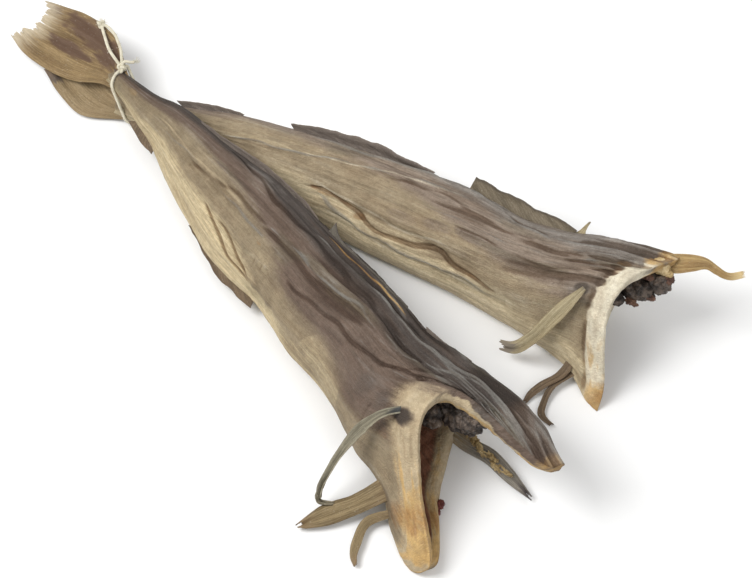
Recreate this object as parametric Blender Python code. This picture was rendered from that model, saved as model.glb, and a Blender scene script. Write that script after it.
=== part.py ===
"""Two dried, headless fish tied at the tails, lying on their left sides."""
import math
import random

import bpy
import bmesh
import numpy as np
from mathutils import Euler, Vector
from mathutils.bvhtree import BVHTree
from mathutils.geometry import convex_hull_2d

# Lengths are in millimetres here and become metres when a mesh is made.
MM = 0.001

# The middle of the pair on the floor, in the frame that the waists are given in.
CENTRE = (-15.95, 31.80, 0.0)

SEGMENTS = 38
BODY_ROWS = 27
COLLAR_ROWS = 8
CAVITY_ROWS = 6
FIN_THICKNESS = 1.5
LIP_BULGE = 2.5
STRING_RADIUS = 1.5
STRING_GAP = 0.8
STRING_STEP = 4.2
TURN_STEP = 2.8

# Each fish has its own frame: x to the head, y to the back, z to its right flank.
# A row of the outline is x, back, belly, half thickness.
# A row of a rim is one point on the right, from the nape over the side to the throat.
# A fold is angle, start, end, depth, width, with the angles in degrees from the back.
NEAR = {
    "waist": (-211.5, 211.4, 31.0),
    "turn": (33.0, -1.56, -53.49),
    "outline": (
        (-14, 5, -12, 2.2), (0, 5, -11, 6), (13, 7, -12, 8), (34, 11, -15, 9), (68, 21, -20, 11),
        (107, 27, -31, 15), (158, 36, -40, 21), (207, 40, -44, 24), (247, 42, -42, 26),
        (294, 45, -46, 29), (336, 47, -45, 31), (376, 47, -52, 34), (396, 50, -57, 36),
        (416, 53, -58, 38), (436, 58, -64, 40), (463, 62, -77, 40), (488, 61, -84, 38),
        (523, 54, -76, 36),
    ),
    "collar_start": 360.0,
    "rim": (
        (524, 54, 0), (521, 46, 9), (499, 43, 15), (463, 42, 20), (435, 37, 32), (431, 18, 39),
        (438, 0, 39), (452, -18, 32), (471, -39, 22), (506, -68, 10), (497, -84, 2),
    ),
    "inner_rim": (
        (512, 38, 0), (508, 36, 6), (487, 34, 10), (456, 30, 14), (433, 24, 23), (427, 10, 30),
        (433, -5, 30), (446, -21, 24), (465, -41, 15), (492, -61, 6), (488, -71, 0),
    ),
    "left_setback": 10.0,
    "cavity_end": (322.0, -2.0),
    "band": 27.0,
    "folds": (
        (24, 190, 430, 3.2, 8), (50, 120, 235, 2.6, 9), (46, 260, 415, 2.2, 7),
        (66, 240, 400, 2.4, 8), (92, 60, 380, 1.2, 9), (118, 160, 360, 1.8, 12),
        (150, 60, 300, 3.0, 14), (-30, 150, 420, 2.6, 9), (-62, 120, 400, 2.4, 10),
        (-95, 60, 380, 1.5, 9), (-135, 80, 330, 3.0, 14),
    ),
    "seed": 3,
}
FAR = {
    "waist": (-196.1, 189.6, 11.9),
    "turn": (36.0, -3.47, -29.82),
    "outline": (
        (-24, 6, -10, 2.2), (-12, 9, -10, 5), (0, 10, -10, 6.2), (15, 12, -14, 8),
        (36, 18, -16, 9), (86, 28, -20, 13), (140, 37, -26, 19), (185, 41, -29, 23),
        (249, 44, -34, 27), (296, 44, -35, 29),
        (351, 42, -40, 32), (388, 47, -44, 35), (418, 54, -51, 38), (447, 60, -72, 40),
        (471, 62, -78, 39), (500, 59, -80, 37),
    ),
    "collar_start": 372.0,
    "rim": (
        (471, 60, 0), (469, 56, 8), (464, 51, 15), (458, 44, 25), (449, 32, 34), (444, 15, 38),
        (443, -3, 37), (446, -20, 30), (450, -38, 19), (456, -58, 10), (456, -76, 3),
    ),
    "inner_rim": (
        (458, 43, 0), (456, 41, 6), (452, 37, 11), (448, 31, 17), (442, 22, 25), (438, 11, 30),
        (438, -4, 29), (441, -20, 22), (445, -37, 13), (449, -53, 6), (448, -64, 0),
    ),
    "left_setback": 16.0,
    "cavity_end": (338.0, 2.0),
    "band": 18.0,
    "folds": (
        (26, 180, 430, 2.6, 8), (48, 110, 300, 2.2, 8), (64, 230, 420, 2.4, 8),
        (88, 60, 400, 1.4, 9), (114, 178, 330, 3.4, 7), (134, 190, 360, 1.6, 8),
        (-32, 150, 420, 2.6, 9), (-64, 120, 400, 2.4, 10), (-96, 60, 380, 1.5, 9),
        (-130, 100, 330, 2.6, 13),
    ),
    "seed": 8,
}

# A fin is two edges, from the first row of points to the last, and how it is pleated.
# An end profile is how far each part of the last row reaches.
NEAR_FINS = (
    dict(a=((12, 4, 1), (2, 7, 1), (-8, 12, 2), (-20, 18, 3), (-42, 19, 3), (-68, 14, 3),
            (-90, 5, 1), (-112, -5, 0)),
         b=((12, -9, 0), (-10, -16, 0), (-32, -31, 0), (-52, -40, 1), (-71, -45, 3), (-92, -48, 4),
            (-114, -46, 5)),
         rows=12, cols=14, pleats=6, lift=1.6, end=(1.0, 0.95, 0.92, 0.91, 0.92, 0.96, 0.99, 1.0)),
    dict(a=((249, 36, 2), (262, 38, 2), (290, 40, 2), (318, 42, 2), (345, 42, 2)),
         b=((251, 54, 6), (258, 47, 5), (283, 46, 4), (312, 47, 4), (345, 48, 3)),
         rows=9, cols=4, pleats=2, lift=0.8, end=(1.0, 1.0)),
    dict(a=((100, 20, 1), (135, 27, 1), (165, 32, 1), (204, 35, 1), (232, 36, 1)),
         b=((90, 27, 3), (132, 34, 3), (162, 40, 3), (204, 45, 3), (236, 43, 2)),
         rows=11, cols=4, pleats=2, lift=0.8, end=(1.0, 1.0)),
    dict(a=((372, 43, -1), (392, 46, -1), (412, 49, -1)),
         b=((366, 48, 1), (390, 51, 1), (414, 55, 0)),
         rows=6, cols=3, pleats=1, lift=0.5, end=(1.0, 1.0)),
    dict(a=((238, -38, 0), (215, -37, 0), (190, -36, 0), (165, -33, 0)),
         b=((242, -46, 1), (212, -50, 2), (185, -48, 2), (146, -40, 3)),
         rows=9, cols=4, pleats=2, lift=0.7, end=(1.0, 1.0)),
    dict(a=((72, -16, 0), (58, -14, 0), (46, -12, 0)),
         b=((74, -25, 0), (56, -24, 1), (34, -21, 1)),
         rows=6, cols=3, pleats=1, lift=0.4, end=(1.0, 1.0)),
    dict(a=((418, 14, 34), (405, -13, 42), (398, -37, 40), (400, -56, 38), (403, -75, 35),
            (407, -90, 31), (411, -99, 26), (420, -93, 18)),
         b=((426, 2, 34), (413, -16, 41), (409, -37, 39), (408, -56, 38), (409, -75, 35),
            (411, -88, 31), (413, -95, 26), (419, -90, 18)),
         rows=15, cols=4, pleats=2, lift=1.0, end=(1.0, 1.0)),
    dict(a=((428, -50, 4), (422, -80, 12), (415, -98, 21), (416, -121, 34)),
         b=((446, -56, 4), (437, -86, 14), (431, -104, 23), (418, -123, 34)),
         rows=10, cols=6, pleats=3, lift=1.0, end=(1.0, 0.93, 1.0, 0.92)),
    dict(a=((450, -62, 3), (442, -84, 10), (450, -98, 18), (461, -108, 22), (469, -110, 23)),
         b=((458, -66, 3), (450, -85, 11), (458, -96, 18), (465, -104, 22), (470, -107, 23)),
         rows=10, cols=4, pleats=1, lift=0.6, end=(1.0, 1.0)),
    dict(a=((424, 8, -33), (441, 10, -41), (458, 14, -47), (479, 13, -50), (502, 9, -53)),
         b=((422, -8, -33), (438, -6, -41), (456, 0, -47), (479, 2, -50), (504, 7, -53)),
         rows=10, cols=5, pleats=2, lift=0.9, end=(1.0, 0.94, 1.0)),
)
FAR_FINS = (
    dict(a=((-6, 6, 0), (-22, 10, -3), (-46, 26, -17), (-75, 36, -25), (-106, 40, -28)),
         b=((-6, -9, 0), (-20, -14, 1), (-45, -21, 8), (-74, -12, 4), (-100, 2, -3)),
         rows=13, cols=13, pleats=5, lift=1.3, end=(1.0, 0.96, 1.0, 0.88, 0.9, 0.97, 1.0)),
    dict(a=((292, 38, 2), (315, 39, 2), (345, 38, 2), (382, 39, 2)),
         b=((296, 58, 7), (310, 56, 6), (342, 54, 5), (388, 49, 3)),
         rows=10, cols=4, pleats=2, lift=0.8, end=(1.0, 1.0)),
    dict(a=((140, 32, 1), (170, 35, 1), (205, 38, 1), (256, 39, 1)),
         b=((130, 40, 3), (166, 48, 4), (205, 52, 4), (262, 49, 2)),
         rows=11, cols=4, pleats=3, lift=0.9, end=(1.0, 1.0)),
    dict(a=((42, 14, 0), (60, 18, 0), (84, 23, 0)),
         b=((28, 21, 2), (58, 29, 2), (90, 33, 1)),
         rows=7, cols=4, pleats=2, lift=0.6, end=(1.0, 1.0)),
    dict(a=((383, 44, 0), (388, 51, 1), (393, 58, 3)),
         b=((396, 45, 0), (395, 52, 1), (395, 58, 3)),
         rows=5, cols=3, pleats=0, lift=0.0, end=(1.0, 1.0)),
    dict(a=((170, -22, 0), (145, -20, 0), (118, -17, 0)),
         b=((172, -32, 1), (140, -31, 2), (104, -25, 2)),
         rows=8, cols=3, pleats=1, lift=0.5, end=(1.0, 1.0)),
    dict(a=((416, 25, 34), (409, 2, 41), (399, -18, 37), (388, -38, 27), (377, -50, 21),
            (365, -53, 17)),
         b=((427, 15, 34), (420, -3, 41), (409, -23, 36), (396, -44, 26), (382, -58, 19),
            (367, -60, 15)),
         rows=13, cols=6, pleats=2, lift=1.0, end=(1.0, 0.95, 1.0)),
    dict(a=((418, -38, 6), (416, -58, 8), (406, -73, 15), (403, -81, 18), (404, -91, 24)),
         b=((430, -42, 6), (425, -59, 9), (413, -76, 16), (409, -83, 19), (406, -92, 24)),
         rows=10, cols=5, pleats=2, lift=0.7, end=(1.0, 0.94, 1.0)),
    dict(a=((430, -44, 0), (421, -60, 6), (415, -71, 12), (415, -82, 17), (419, -94, 25),
            (433, -98, 26)),
         b=((438, -48, 0), (427, -60, 7), (421, -70, 13), (421, -81, 18), (425, -91, 24),
            (435, -95, 26)),
         rows=11, cols=4, pleats=1, lift=0.5, end=(1.0, 1.0)),
    dict(a=((456, 56, 4), (468, 61, 3), (480, 65, 2), (490, 66, 2), (498, 64, 1), (508, 62, 1),
            (520, 68, 1)),
         b=((454, 44, 4), (471, 46, 3), (484, 53, 2), (493, 58, 2), (500, 57, 1), (511, 57, 1),
            (523, 64, 1)),
         rows=12, cols=4, pleats=0, lift=0.0, end=(1.0, 1.0)),
)
NEAR_LUMPS = (((428, 22, -4), (26, 16, 17)), ((446, 27, 6), (16, 11, 11)),
              ((420, 6, 10), (15, 11, 10)))
FAR_LUMPS = (((445, 25, 4), (18, 11, 14)), ((460, 35, 1), (13, 10, 10)), ((434, 11, 11), (11, 7, 9)),
             ((459, 47, 8), (9, 6, 6)))

# The string, in the frame of the near fish.
WRAP_CENTRE = (13.0, -8.0, -9.0)
WRAP_AXIS = (19.5, 8.0, 13.6)
WRAP_REACH = 40.0
KNOT_SPOT = (-4, 8, 9)
STRAND = ((-12, 9, 10), (-21, 10, 9), (-33, 14, 8), (-46, 19, 7))
SLACK = ((-46, 19, 7), (-42, 23, 6), (-33, 24, 6), (-23, 22, 6), (-14, 18, 6), (-8, 15, 8))
LOOSE_END = ((-2, 14, 8), (2, 17, 3), (4, 22, 0))
KNOT_SIZE = 3.2
BLOB_SIZE = 2.7

SKIN_NEAR = (0.30, 0.26, 0.21, 1.0)
SKIN_FAR = (0.36, 0.31, 0.24, 1.0)
COTTON = (0.78, 0.75, 0.66, 1.0)


def smooth(knots, values, at):
    """Cubic curve through the values, with slopes taken from the neighbours."""
    knots = np.asarray(knots, float)
    values = np.asarray(values, float)
    slopes = np.gradient(values, knots, axis=0)
    left = np.clip(np.searchsorted(knots, at) - 1, 0, len(knots) - 2)
    span = knots[left + 1] - knots[left]
    t = np.clip((at - knots[left]) / span, 0.0, 1.0)
    if values.ndim > 1:
        t = t[..., None]
        span = span[..., None]
    start = values[left] * (2 * t**3 - 3 * t**2 + 1) + slopes[left] * span * (t**3 - 2 * t**2 + t)
    stop = values[left + 1] * (3 * t**2 - 2 * t**3) + slopes[left + 1] * span * (t**3 - t**2)
    return start + stop


def curve(points, at):
    """Points of a smooth curve, where 0 is its first point and 1 is its last."""
    points = np.asarray(points, float)
    steps = np.linalg.norm(np.diff(points, axis=0), axis=1)
    knots = np.concatenate([[0.0], np.cumsum(steps)])
    return smooth(knots / knots[-1], points, np.asarray(at, float))


def closed_rim(right, setback, angles):
    """Points of a whole rim at the angles, from the points of its right half."""
    right = np.asarray(right, float)
    left = right[-2:0:-1] * (1, 1, -0.96)
    weight = np.sin(math.pi * np.linspace(1, 0, len(right)) ** 1.6)[1:-1]
    left[:, 0] -= setback * weight
    ring = np.concatenate([right, left])
    padded = np.concatenate([ring[-3:], ring, ring[:4]])
    knots = np.arange(-3, len(ring) + 4) * (360.0 / len(ring))
    return smooth(knots, padded, np.mod(angles, 360.0))


def window(x, start, end, soft=28.0):
    """One between start and end, falling softly to zero outside."""
    rise = np.clip((x - start) / soft + 0.5, 0, 1)
    fall = np.clip((end - x) / soft + 0.5, 0, 1)
    return rise * rise * (3 - 2 * rise) * fall * fall * (3 - 2 * fall)


def skin(fish, x, angles):
    """Points of the outer skin at x, before the collar spreads it."""
    rows = np.asarray(fish["outline"], float)
    back, belly, half = np.moveaxis(smooth(rows[:, 0], rows[:, 1:], x), -1, 0)
    turn = np.radians(angles)
    across = np.sin(turn)
    along = np.cos(turn)
    middle = belly + 0.55 * (back - belly)
    y = middle + np.where(along > 0, back - middle, middle - belly) * along
    sharp = np.where(along > 0, 0.95, 1.12)
    z = half * np.sign(across) * np.abs(across) ** sharp
    sink = 0.9 * np.sin(x / 31 + 3 * turn + fish["seed"]) + 0.6 * np.sin(x / 17 - 2 * turn)
    sink *= window(x, 40, 440)
    signed = np.mod(angles + 180, 360) - 180
    for angle, start, end, depth, width in fish["folds"]:
        drift = angle + 3 * np.sin(x / 60 + angle)
        sink += depth * np.exp(-(((signed - drift) / width) ** 2)) * window(x, start, end)
    reach = np.maximum(np.hypot(y - middle, z), 4.0)
    keep = 1 - sink / reach
    return np.stack([x, middle + (y - middle) * keep, z * keep], axis=-1)


def collar(fish, t, angles):
    """Points between the start of the collar and its rim."""
    rim = closed_rim(fish["rim"], fish["left_setback"], angles)
    x = fish["collar_start"] + (rim[..., 0] - fish["collar_start"]) * t
    spread = rim - skin(fish, rim[..., 0], angles)
    points = skin(fish, x, angles) + spread * (t**2)[..., None]
    before = rim[..., 0] - x
    side = np.clip(np.abs(np.sin(np.radians(angles))) * 1.4 - 0.35, 0, 1)
    crease = 3.4 * np.exp(-(((before - fish["band"]) / 5.0) ** 2)) * side
    points[..., 2] -= crease * np.sign(points[..., 2])
    return points


def cavity(fish, s, angles):
    """Points from the inner rim, at 0, to the closed end of the hollow, at 1."""
    rim = closed_rim(fish["inner_rim"], fish["left_setback"], angles)
    end_x, end_y = fish["cavity_end"]
    x = rim[..., 0] + (end_x - rim[..., 0]) * s
    wall = skin(fish, x, angles)
    narrow = 0.66 * (1 - s) ** 0.45 + 0.02
    deep_y = end_y + (wall[..., 1] - end_y) * narrow
    deep_z = wall[..., 2] * narrow
    blend = np.clip(s * 2.4, 0, 1)
    blend = blend * blend * (3 - 2 * blend)
    y = rim[..., 1] * (1 - blend) + deep_y * blend
    z = rim[..., 2] * (1 - blend) + deep_z * blend
    return np.stack([x, y, z], axis=-1)


def lip_ring(outer, inner, bulge):
    """Ring between two others, bulging square to them towards the head."""
    tangent = np.roll(outer, -1, axis=0) - np.roll(outer, 1, axis=0)
    away = np.cross(tangent, inner - outer)
    away /= np.linalg.norm(away, axis=1, keepdims=True)
    return (outer + inner) / 2 + away * bulge * np.sign(away[:, 0].mean())


def body_grid(fish, segments, body_rows, collar_rows, cavity_rows):
    """Rows of rings: tail, body, collar, lip and hollow."""
    angles = np.linspace(0, 360, segments, endpoint=False)
    start = fish["outline"][0][0]
    rings = [skin(fish, np.full(segments, x), angles)
             for x in np.linspace(start, fish["collar_start"], body_rows)]
    rings += [collar(fish, np.full(segments, t), angles)
              for t in np.linspace(0, 1, collar_rows + 1)[1:]]
    outer = rings[-1]
    inner = cavity(fish, np.zeros(segments), angles)
    rings.append(lip_ring(outer, inner, LIP_BULGE))
    rings += [cavity(fish, np.full(segments, s), angles)
              for s in np.linspace(0, 0.97, cavity_rows) ** 1.2]
    return np.array(rings)


def mesh_from_rings(name, rings):
    """Closed mesh of rings with a point over each open end."""
    rows, segments, _ = rings.shape
    made = bmesh.new()
    grid = [[made.verts.new(Vector(point) * MM) for point in ring] for ring in rings]
    for near_ring, next_ring in zip(grid, grid[1:]):
        for i in range(segments):
            j = (i + 1) % segments
            made.faces.new((near_ring[i], near_ring[j], next_ring[j], next_ring[i]))
    for ring, flip in ((grid[0], True), (grid[-1], False)):
        tip = made.verts.new(sum((v.co for v in ring), Vector()) / segments)
        for i in range(segments):
            corner = (ring[i], ring[(i + 1) % segments], tip)
            made.faces.new(corner[::-1] if flip else corner)
    return finish_mesh(name, made)


def finish_mesh(name, made):
    """Object of the bmesh, in triangles that face out."""
    bmesh.ops.triangulate(made, faces=made.faces)
    bmesh.ops.recalc_face_normals(made, faces=made.faces)
    mesh = bpy.data.meshes.new(name)
    made.to_mesh(mesh)
    made.free()
    thing = bpy.data.objects.new(name, mesh)
    bpy.context.scene.collection.objects.link(thing)
    return thing


def fin_sheet(fin, rows, cols):
    """Middle sheet of a fin, rows from its first points and columns from edge a to edge b."""
    across = np.linspace(0, 1, cols)
    reach = np.interp(across, np.linspace(0, 1, len(fin["end"])), fin["end"])
    sheet = np.zeros((rows, cols, 3))
    for column, v in enumerate(across):
        at = np.linspace(0, reach[column], rows)
        edge_a = curve(fin["a"], at)
        edge_b = curve(fin["b"], at)
        sheet[:, column] = edge_a * (1 - v) + edge_b * v
    return sheet


def sheet_normals(sheet):
    """Unit normals of a sheet of points."""
    down = np.gradient(sheet, axis=0)
    over = np.gradient(sheet, axis=1)
    normals = np.cross(down, over)
    length = np.linalg.norm(normals, axis=-1, keepdims=True)
    return normals / np.maximum(length, 1e-9)


def fin_mesh(name, fin, thickness):
    """Thin wavy solid, with both faces split into triangles alike."""
    rows, cols = fin["rows"], fin["cols"]
    sheet = fin_sheet(fin, rows, cols)
    normals = sheet_normals(sheet)
    across = np.linspace(0, 1, cols)
    along = np.linspace(0, 1, rows)[:, None]
    wave = fin["lift"] * np.sin(math.pi * fin["pleats"] * across) * along**0.7
    sheet = sheet + normals * wave[..., None]
    taper = 1 - 0.35 * along * np.ones(cols)
    offset = normals * (thickness / 2 * taper)[..., None]
    made = bmesh.new()
    top = [[made.verts.new(Vector(p) * MM) for p in row] for row in sheet + offset]
    low = [[made.verts.new(Vector(p) * MM) for p in row] for row in sheet - offset]
    for i in range(rows - 1):
        for j in range(cols - 1):
            for side, flip in ((top, False), (low, True)):
                a, b = side[i][j], side[i + 1][j]
                c, d = side[i + 1][j + 1], side[i][j + 1]
                for corner in ((a, b, c), (a, c, d)):
                    made.faces.new(corner[::-1] if flip else corner)
    border = [(i, 0) for i in range(rows)] + [(rows - 1, j) for j in range(1, cols)]
    border += [(i, cols - 1) for i in range(rows - 2, -1, -1)]
    border += [(0, j) for j in range(cols - 2, 0, -1)]
    for (i, j), (m, n) in zip(border, border[1:] + border[:1]):
        made.faces.new((top[i][j], low[i][j], low[m][n]))
        made.faces.new((top[i][j], low[m][n], top[m][n]))
    return finish_mesh(name, made)


def lump_mesh(name, middle, size, seed):
    """Shrivelled lump."""
    chance = random.Random(seed)
    made = bmesh.new()
    bmesh.ops.create_icosphere(made, subdivisions=2, radius=1.0)
    for vert in made.verts:
        vert.co *= 1 + chance.uniform(-0.13, 0.1)
        vert.co = Vector(m + c * s for m, c, s in zip(middle, vert.co, size)) * MM
    return finish_mesh(name, made)


def tube_mesh(name, points, radius, closed, sides=6):
    """Round tube along the points."""
    points = np.asarray(points, float)
    if closed:
        along = np.roll(points, -1, axis=0) - np.roll(points, 1, axis=0)
    else:
        along = np.gradient(points, axis=0)
    along /= np.linalg.norm(along, axis=1, keepdims=True)
    made = bmesh.new()
    rings = []
    side = Vector(along[0]).orthogonal().normalized()
    for point, direction in zip(points, along):
        axis = Vector(direction)
        side = (side - axis * side.dot(axis)).normalized()
        other = axis.cross(side)
        ring = []
        for k in range(sides):
            turn = 2 * math.pi * k / sides
            spot = Vector(point) + (side * math.cos(turn) + other * math.sin(turn)) * radius
            ring.append(made.verts.new(spot * MM))
        rings.append(ring)
    pairs = list(zip(rings, rings[1:]))
    if closed:
        first, last = rings[0], rings[-1]
        shift = min(range(sides), key=lambda k: (first[k].co - last[0].co).length)
        pairs.append((last, first[shift:] + first[:shift]))
    else:
        made.faces.new(rings[0])
        made.faces.new(rings[-1][::-1])
    for ring, after in pairs:
        for k in range(sides):
            m = (k + 1) % sides
            made.faces.new((ring[k], after[k], after[m], ring[m]))
    return finish_mesh(name, made)


def unite(base, pieces):
    """Join the pieces into the base, then remove them."""
    group = bpy.data.collections.new("pieces of " + base.name)
    for piece in pieces:
        group.objects.link(piece)
    union = base.modifiers.new("join", "BOOLEAN")
    union.operation = "UNION"
    union.operand_type = "COLLECTION"
    union.collection = group
    union.solver = "EXACT"
    union.use_self = True
    bpy.context.view_layer.update()
    ready = base.evaluated_get(bpy.context.evaluated_depsgraph_get())
    joined = bpy.data.meshes.new_from_object(ready)
    base.modifiers.clear()
    base.data = joined
    for piece in pieces:
        bpy.data.objects.remove(piece)
    bpy.data.collections.remove(group)


def keep_largest(thing):
    """Drop loose scraps and weld the points that a join leaves on top of each other."""
    made = bmesh.new()
    made.from_mesh(thing.data)
    bmesh.ops.remove_doubles(made, verts=made.verts, dist=0.00002)
    made.verts.ensure_lookup_table()
    left = set(made.verts)
    islands = []
    while left:
        stack = [left.pop()]
        island = set(stack)
        while stack:
            for edge in stack.pop().link_edges:
                for vert in edge.verts:
                    if vert not in island:
                        island.add(vert)
                        left.discard(vert)
                        stack.append(vert)
        islands.append(island)
    islands.sort(key=len)
    for island in islands[:-1]:
        bmesh.ops.delete(made, geom=list(island), context="VERTS")
    bmesh.ops.triangulate(made, faces=made.faces)
    made.to_mesh(thing.data)
    made.free()


def place(thing, fish):
    """Put a thing that is made in the frame of a fish where the fish lies."""
    thing.location = [(w - c) * MM for w, c in zip(fish["waist"], CENTRE)]
    thing.rotation_euler = [math.radians(angle) for angle in fish["turn"]]


def settle(thing):
    """Press what is under the floor flat onto it."""
    frame = Euler(thing.rotation_euler).to_matrix()
    for vert in thing.data.vertices:
        low = (frame @ vert.co)[2] + thing.location[2]
        if low < 0:
            vert.co += frame.inverted() @ Vector((0, 0, -low))


def paint(thing, name, colour, rough):
    """Give the thing its own material."""
    material = bpy.data.materials.new(name)
    material.use_nodes = True
    shader = material.node_tree.nodes["Principled BSDF"]
    shader.inputs["Base Color"].default_value = colour
    shader.inputs["Roughness"].default_value = rough
    material.diffuse_color = colour
    thing.data.materials.clear()
    thing.data.materials.append(material)


def make_fish(name, fish, fins, lumps, colour):
    """One whole fish: body, fins and the dried remains in its hollow."""
    body = mesh_from_rings(name, body_grid(fish, SEGMENTS, BODY_ROWS, COLLAR_ROWS, CAVITY_ROWS))
    pieces = [fin_mesh(name + " fin", fin, FIN_THICKNESS) for fin in fins]
    for i, (middle, size) in enumerate(lumps):
        pieces.append(lump_mesh(name + " lump", middle, size, fish["seed"] + i))
    unite(body, pieces)
    keep_largest(body)
    place(body, fish)
    settle(body)
    paint(body, name + " skin", colour, 0.7)
    return body


def in_frame(thing, frame):
    """Points and faces of a placed thing, in another frame and in millimetres."""
    to_frame = frame.inverted() @ thing.matrix_world
    points = [to_frame @ vert.co / MM for vert in thing.data.vertices]
    return points, [tuple(face.vertices) for face in thing.data.polygons]


def taut_turn(shapes, gap):
    """Closed path pulled tight round both tails, in one plane across them."""
    centre = Vector(WRAP_CENTRE)
    axis = Vector(WRAP_AXIS).normalized()
    side = axis.orthogonal().normalized()
    other = axis.cross(side)
    cut = []
    for points, faces in shapes:
        height = [(point - centre).dot(axis) for point in points]
        for face in faces:
            for a, b in zip(face, face[1:] + face[:1]):
                if (height[a] < 0) != (height[b] < 0):
                    spot = points[a].lerp(points[b], height[a] / (height[a] - height[b])) - centre
                    if spot.length < WRAP_REACH:
                        cut.append((spot.dot(side), spot.dot(other)))
    turns = [2 * math.pi * k / 16 for k in range(16)]
    spread = [(x + gap * math.cos(t), y + gap * math.sin(t)) for x, y in cut for t in turns]
    hull = [spread[i] for i in convex_hull_2d(spread)]
    ring = np.array([centre + side * x + other * y for x, y in hull + hull[:1]])
    lengths = np.concatenate([[0], np.cumsum(np.linalg.norm(np.diff(ring, axis=0), axis=1))])
    at = np.linspace(0, lengths[-1], int(lengths[-1] / TURN_STEP), endpoint=False)
    return np.stack([np.interp(at, lengths, ring[:, k]) for k in range(3)], axis=1)


def keep_off(path, spots, trees, gap):
    """Move the spots of a path away from the fish, to the gap at least."""
    for i in spots:
        for tree in trees:
            close, _, _, distance = tree.find_nearest(Vector(path[i]))
            if distance < gap:
                away = Vector(path[i]) - close
                path[i] = np.array(close + away.normalized() * gap)


def clear_path(points, trees, gap):
    """Even points along the path, kept off the fish."""
    length = np.linalg.norm(np.diff(points, axis=0), axis=1).sum()
    path = curve(points, np.linspace(0, 1, int(length / STRING_STEP)))
    for _ in range(14):
        path[1:-1] = path[1:-1] * 0.7 + (path[:-2] + path[2:]) * 0.15
        keep_off(path, range(1, len(path) - 1), trees, gap)
    return path


def make_string(near_fish, far_fish):
    """The string: one turn round both tails, two knots, a slack loop and a loose end."""
    bpy.context.view_layer.update()
    frame = near_fish.matrix_world
    shapes = [in_frame(thing, frame) for thing in (near_fish, far_fish)]
    trees = [BVHTree.FromPolygons(*shape) for shape in shapes]
    gap = STRING_RADIUS + STRING_GAP
    turn = taut_turn(shapes, gap + 0.3)
    keep_off(turn, range(len(turn)), trees, gap)
    string = tube_mesh("tie_string", turn, STRING_RADIUS, True)
    knot = tuple(min(turn, key=lambda spot: np.linalg.norm(spot - KNOT_SPOT)))
    pieces = []
    for strand in ((knot,) + STRAND, SLACK + (knot,), (knot,) + LOOSE_END):
        path = clear_path(strand, trees, gap + 0.5)
        pieces.append(tube_mesh("strand", path, STRING_RADIUS, False))
    for i, (middle, size) in enumerate(((knot, KNOT_SIZE), (STRAND[-1], BLOB_SIZE))):
        spot = np.array([middle])
        keep_off(spot, [0], trees, size * 1.1 + 0.4)
        pieces.append(lump_mesh("knot", spot[0], (size, size, size), 20 + i))
    unite(string, pieces)
    keep_largest(string)
    place(string, NEAR)
    paint(string, "cotton string", COTTON, 0.9)
    return string


def main():
    for thing in list(bpy.data.objects):
        bpy.data.objects.remove(thing)
    near_fish = make_fish("fish_near", NEAR, NEAR_FINS, NEAR_LUMPS, SKIN_NEAR)
    far_fish = make_fish("fish_far", FAR, FAR_FINS, FAR_LUMPS, SKIN_FAR)
    make_string(near_fish, far_fish)


main()
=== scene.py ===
import math
import random
from types import SimpleNamespace

import bpy
import numpy as np
from mathutils import Euler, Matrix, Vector
from mathutils.bvhtree import BVHTree
from mathutils.geometry import convex_hull_2d


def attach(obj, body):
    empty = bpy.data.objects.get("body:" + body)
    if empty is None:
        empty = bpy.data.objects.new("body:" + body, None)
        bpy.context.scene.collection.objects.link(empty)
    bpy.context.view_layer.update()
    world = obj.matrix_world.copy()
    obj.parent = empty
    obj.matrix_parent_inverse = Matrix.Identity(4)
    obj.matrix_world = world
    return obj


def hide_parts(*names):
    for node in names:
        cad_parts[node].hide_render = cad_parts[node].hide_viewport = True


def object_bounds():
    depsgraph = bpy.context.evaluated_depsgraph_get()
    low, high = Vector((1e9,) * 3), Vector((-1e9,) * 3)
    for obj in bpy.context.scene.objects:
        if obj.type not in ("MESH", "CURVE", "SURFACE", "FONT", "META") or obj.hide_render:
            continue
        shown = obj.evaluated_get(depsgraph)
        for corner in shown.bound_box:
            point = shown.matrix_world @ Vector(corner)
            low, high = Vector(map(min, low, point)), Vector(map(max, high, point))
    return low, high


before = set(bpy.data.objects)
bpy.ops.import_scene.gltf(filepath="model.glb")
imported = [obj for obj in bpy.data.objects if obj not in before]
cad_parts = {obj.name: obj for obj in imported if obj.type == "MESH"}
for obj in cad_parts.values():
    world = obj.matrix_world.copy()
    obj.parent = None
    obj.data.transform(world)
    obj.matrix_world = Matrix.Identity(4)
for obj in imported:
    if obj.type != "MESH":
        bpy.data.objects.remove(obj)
CAD_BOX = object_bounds()

# Lengths are in millimetres here and become metres when a mesh is made.
MM = 0.001
CENTRE = (-15.95, 31.80, 0.0)

# How many points a hide has round it, and how many rows along each of its zones.
AROUND = 300
BODY_ROWS = 300
COLLAR_ROWS = 84
LIP_ROWS = 9
CAVITY_ROWS = 54
# How far the lip of a collar bulges, and how thick a fin is.
LIP_BULGE = 2.5
FIN_THICKNESS = 0.9

# The zones of a hide, from the tail to the end of the hollow.
SKIN = 0
COLLAR = 1
LIP = 2
HOLLOW = 3

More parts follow.
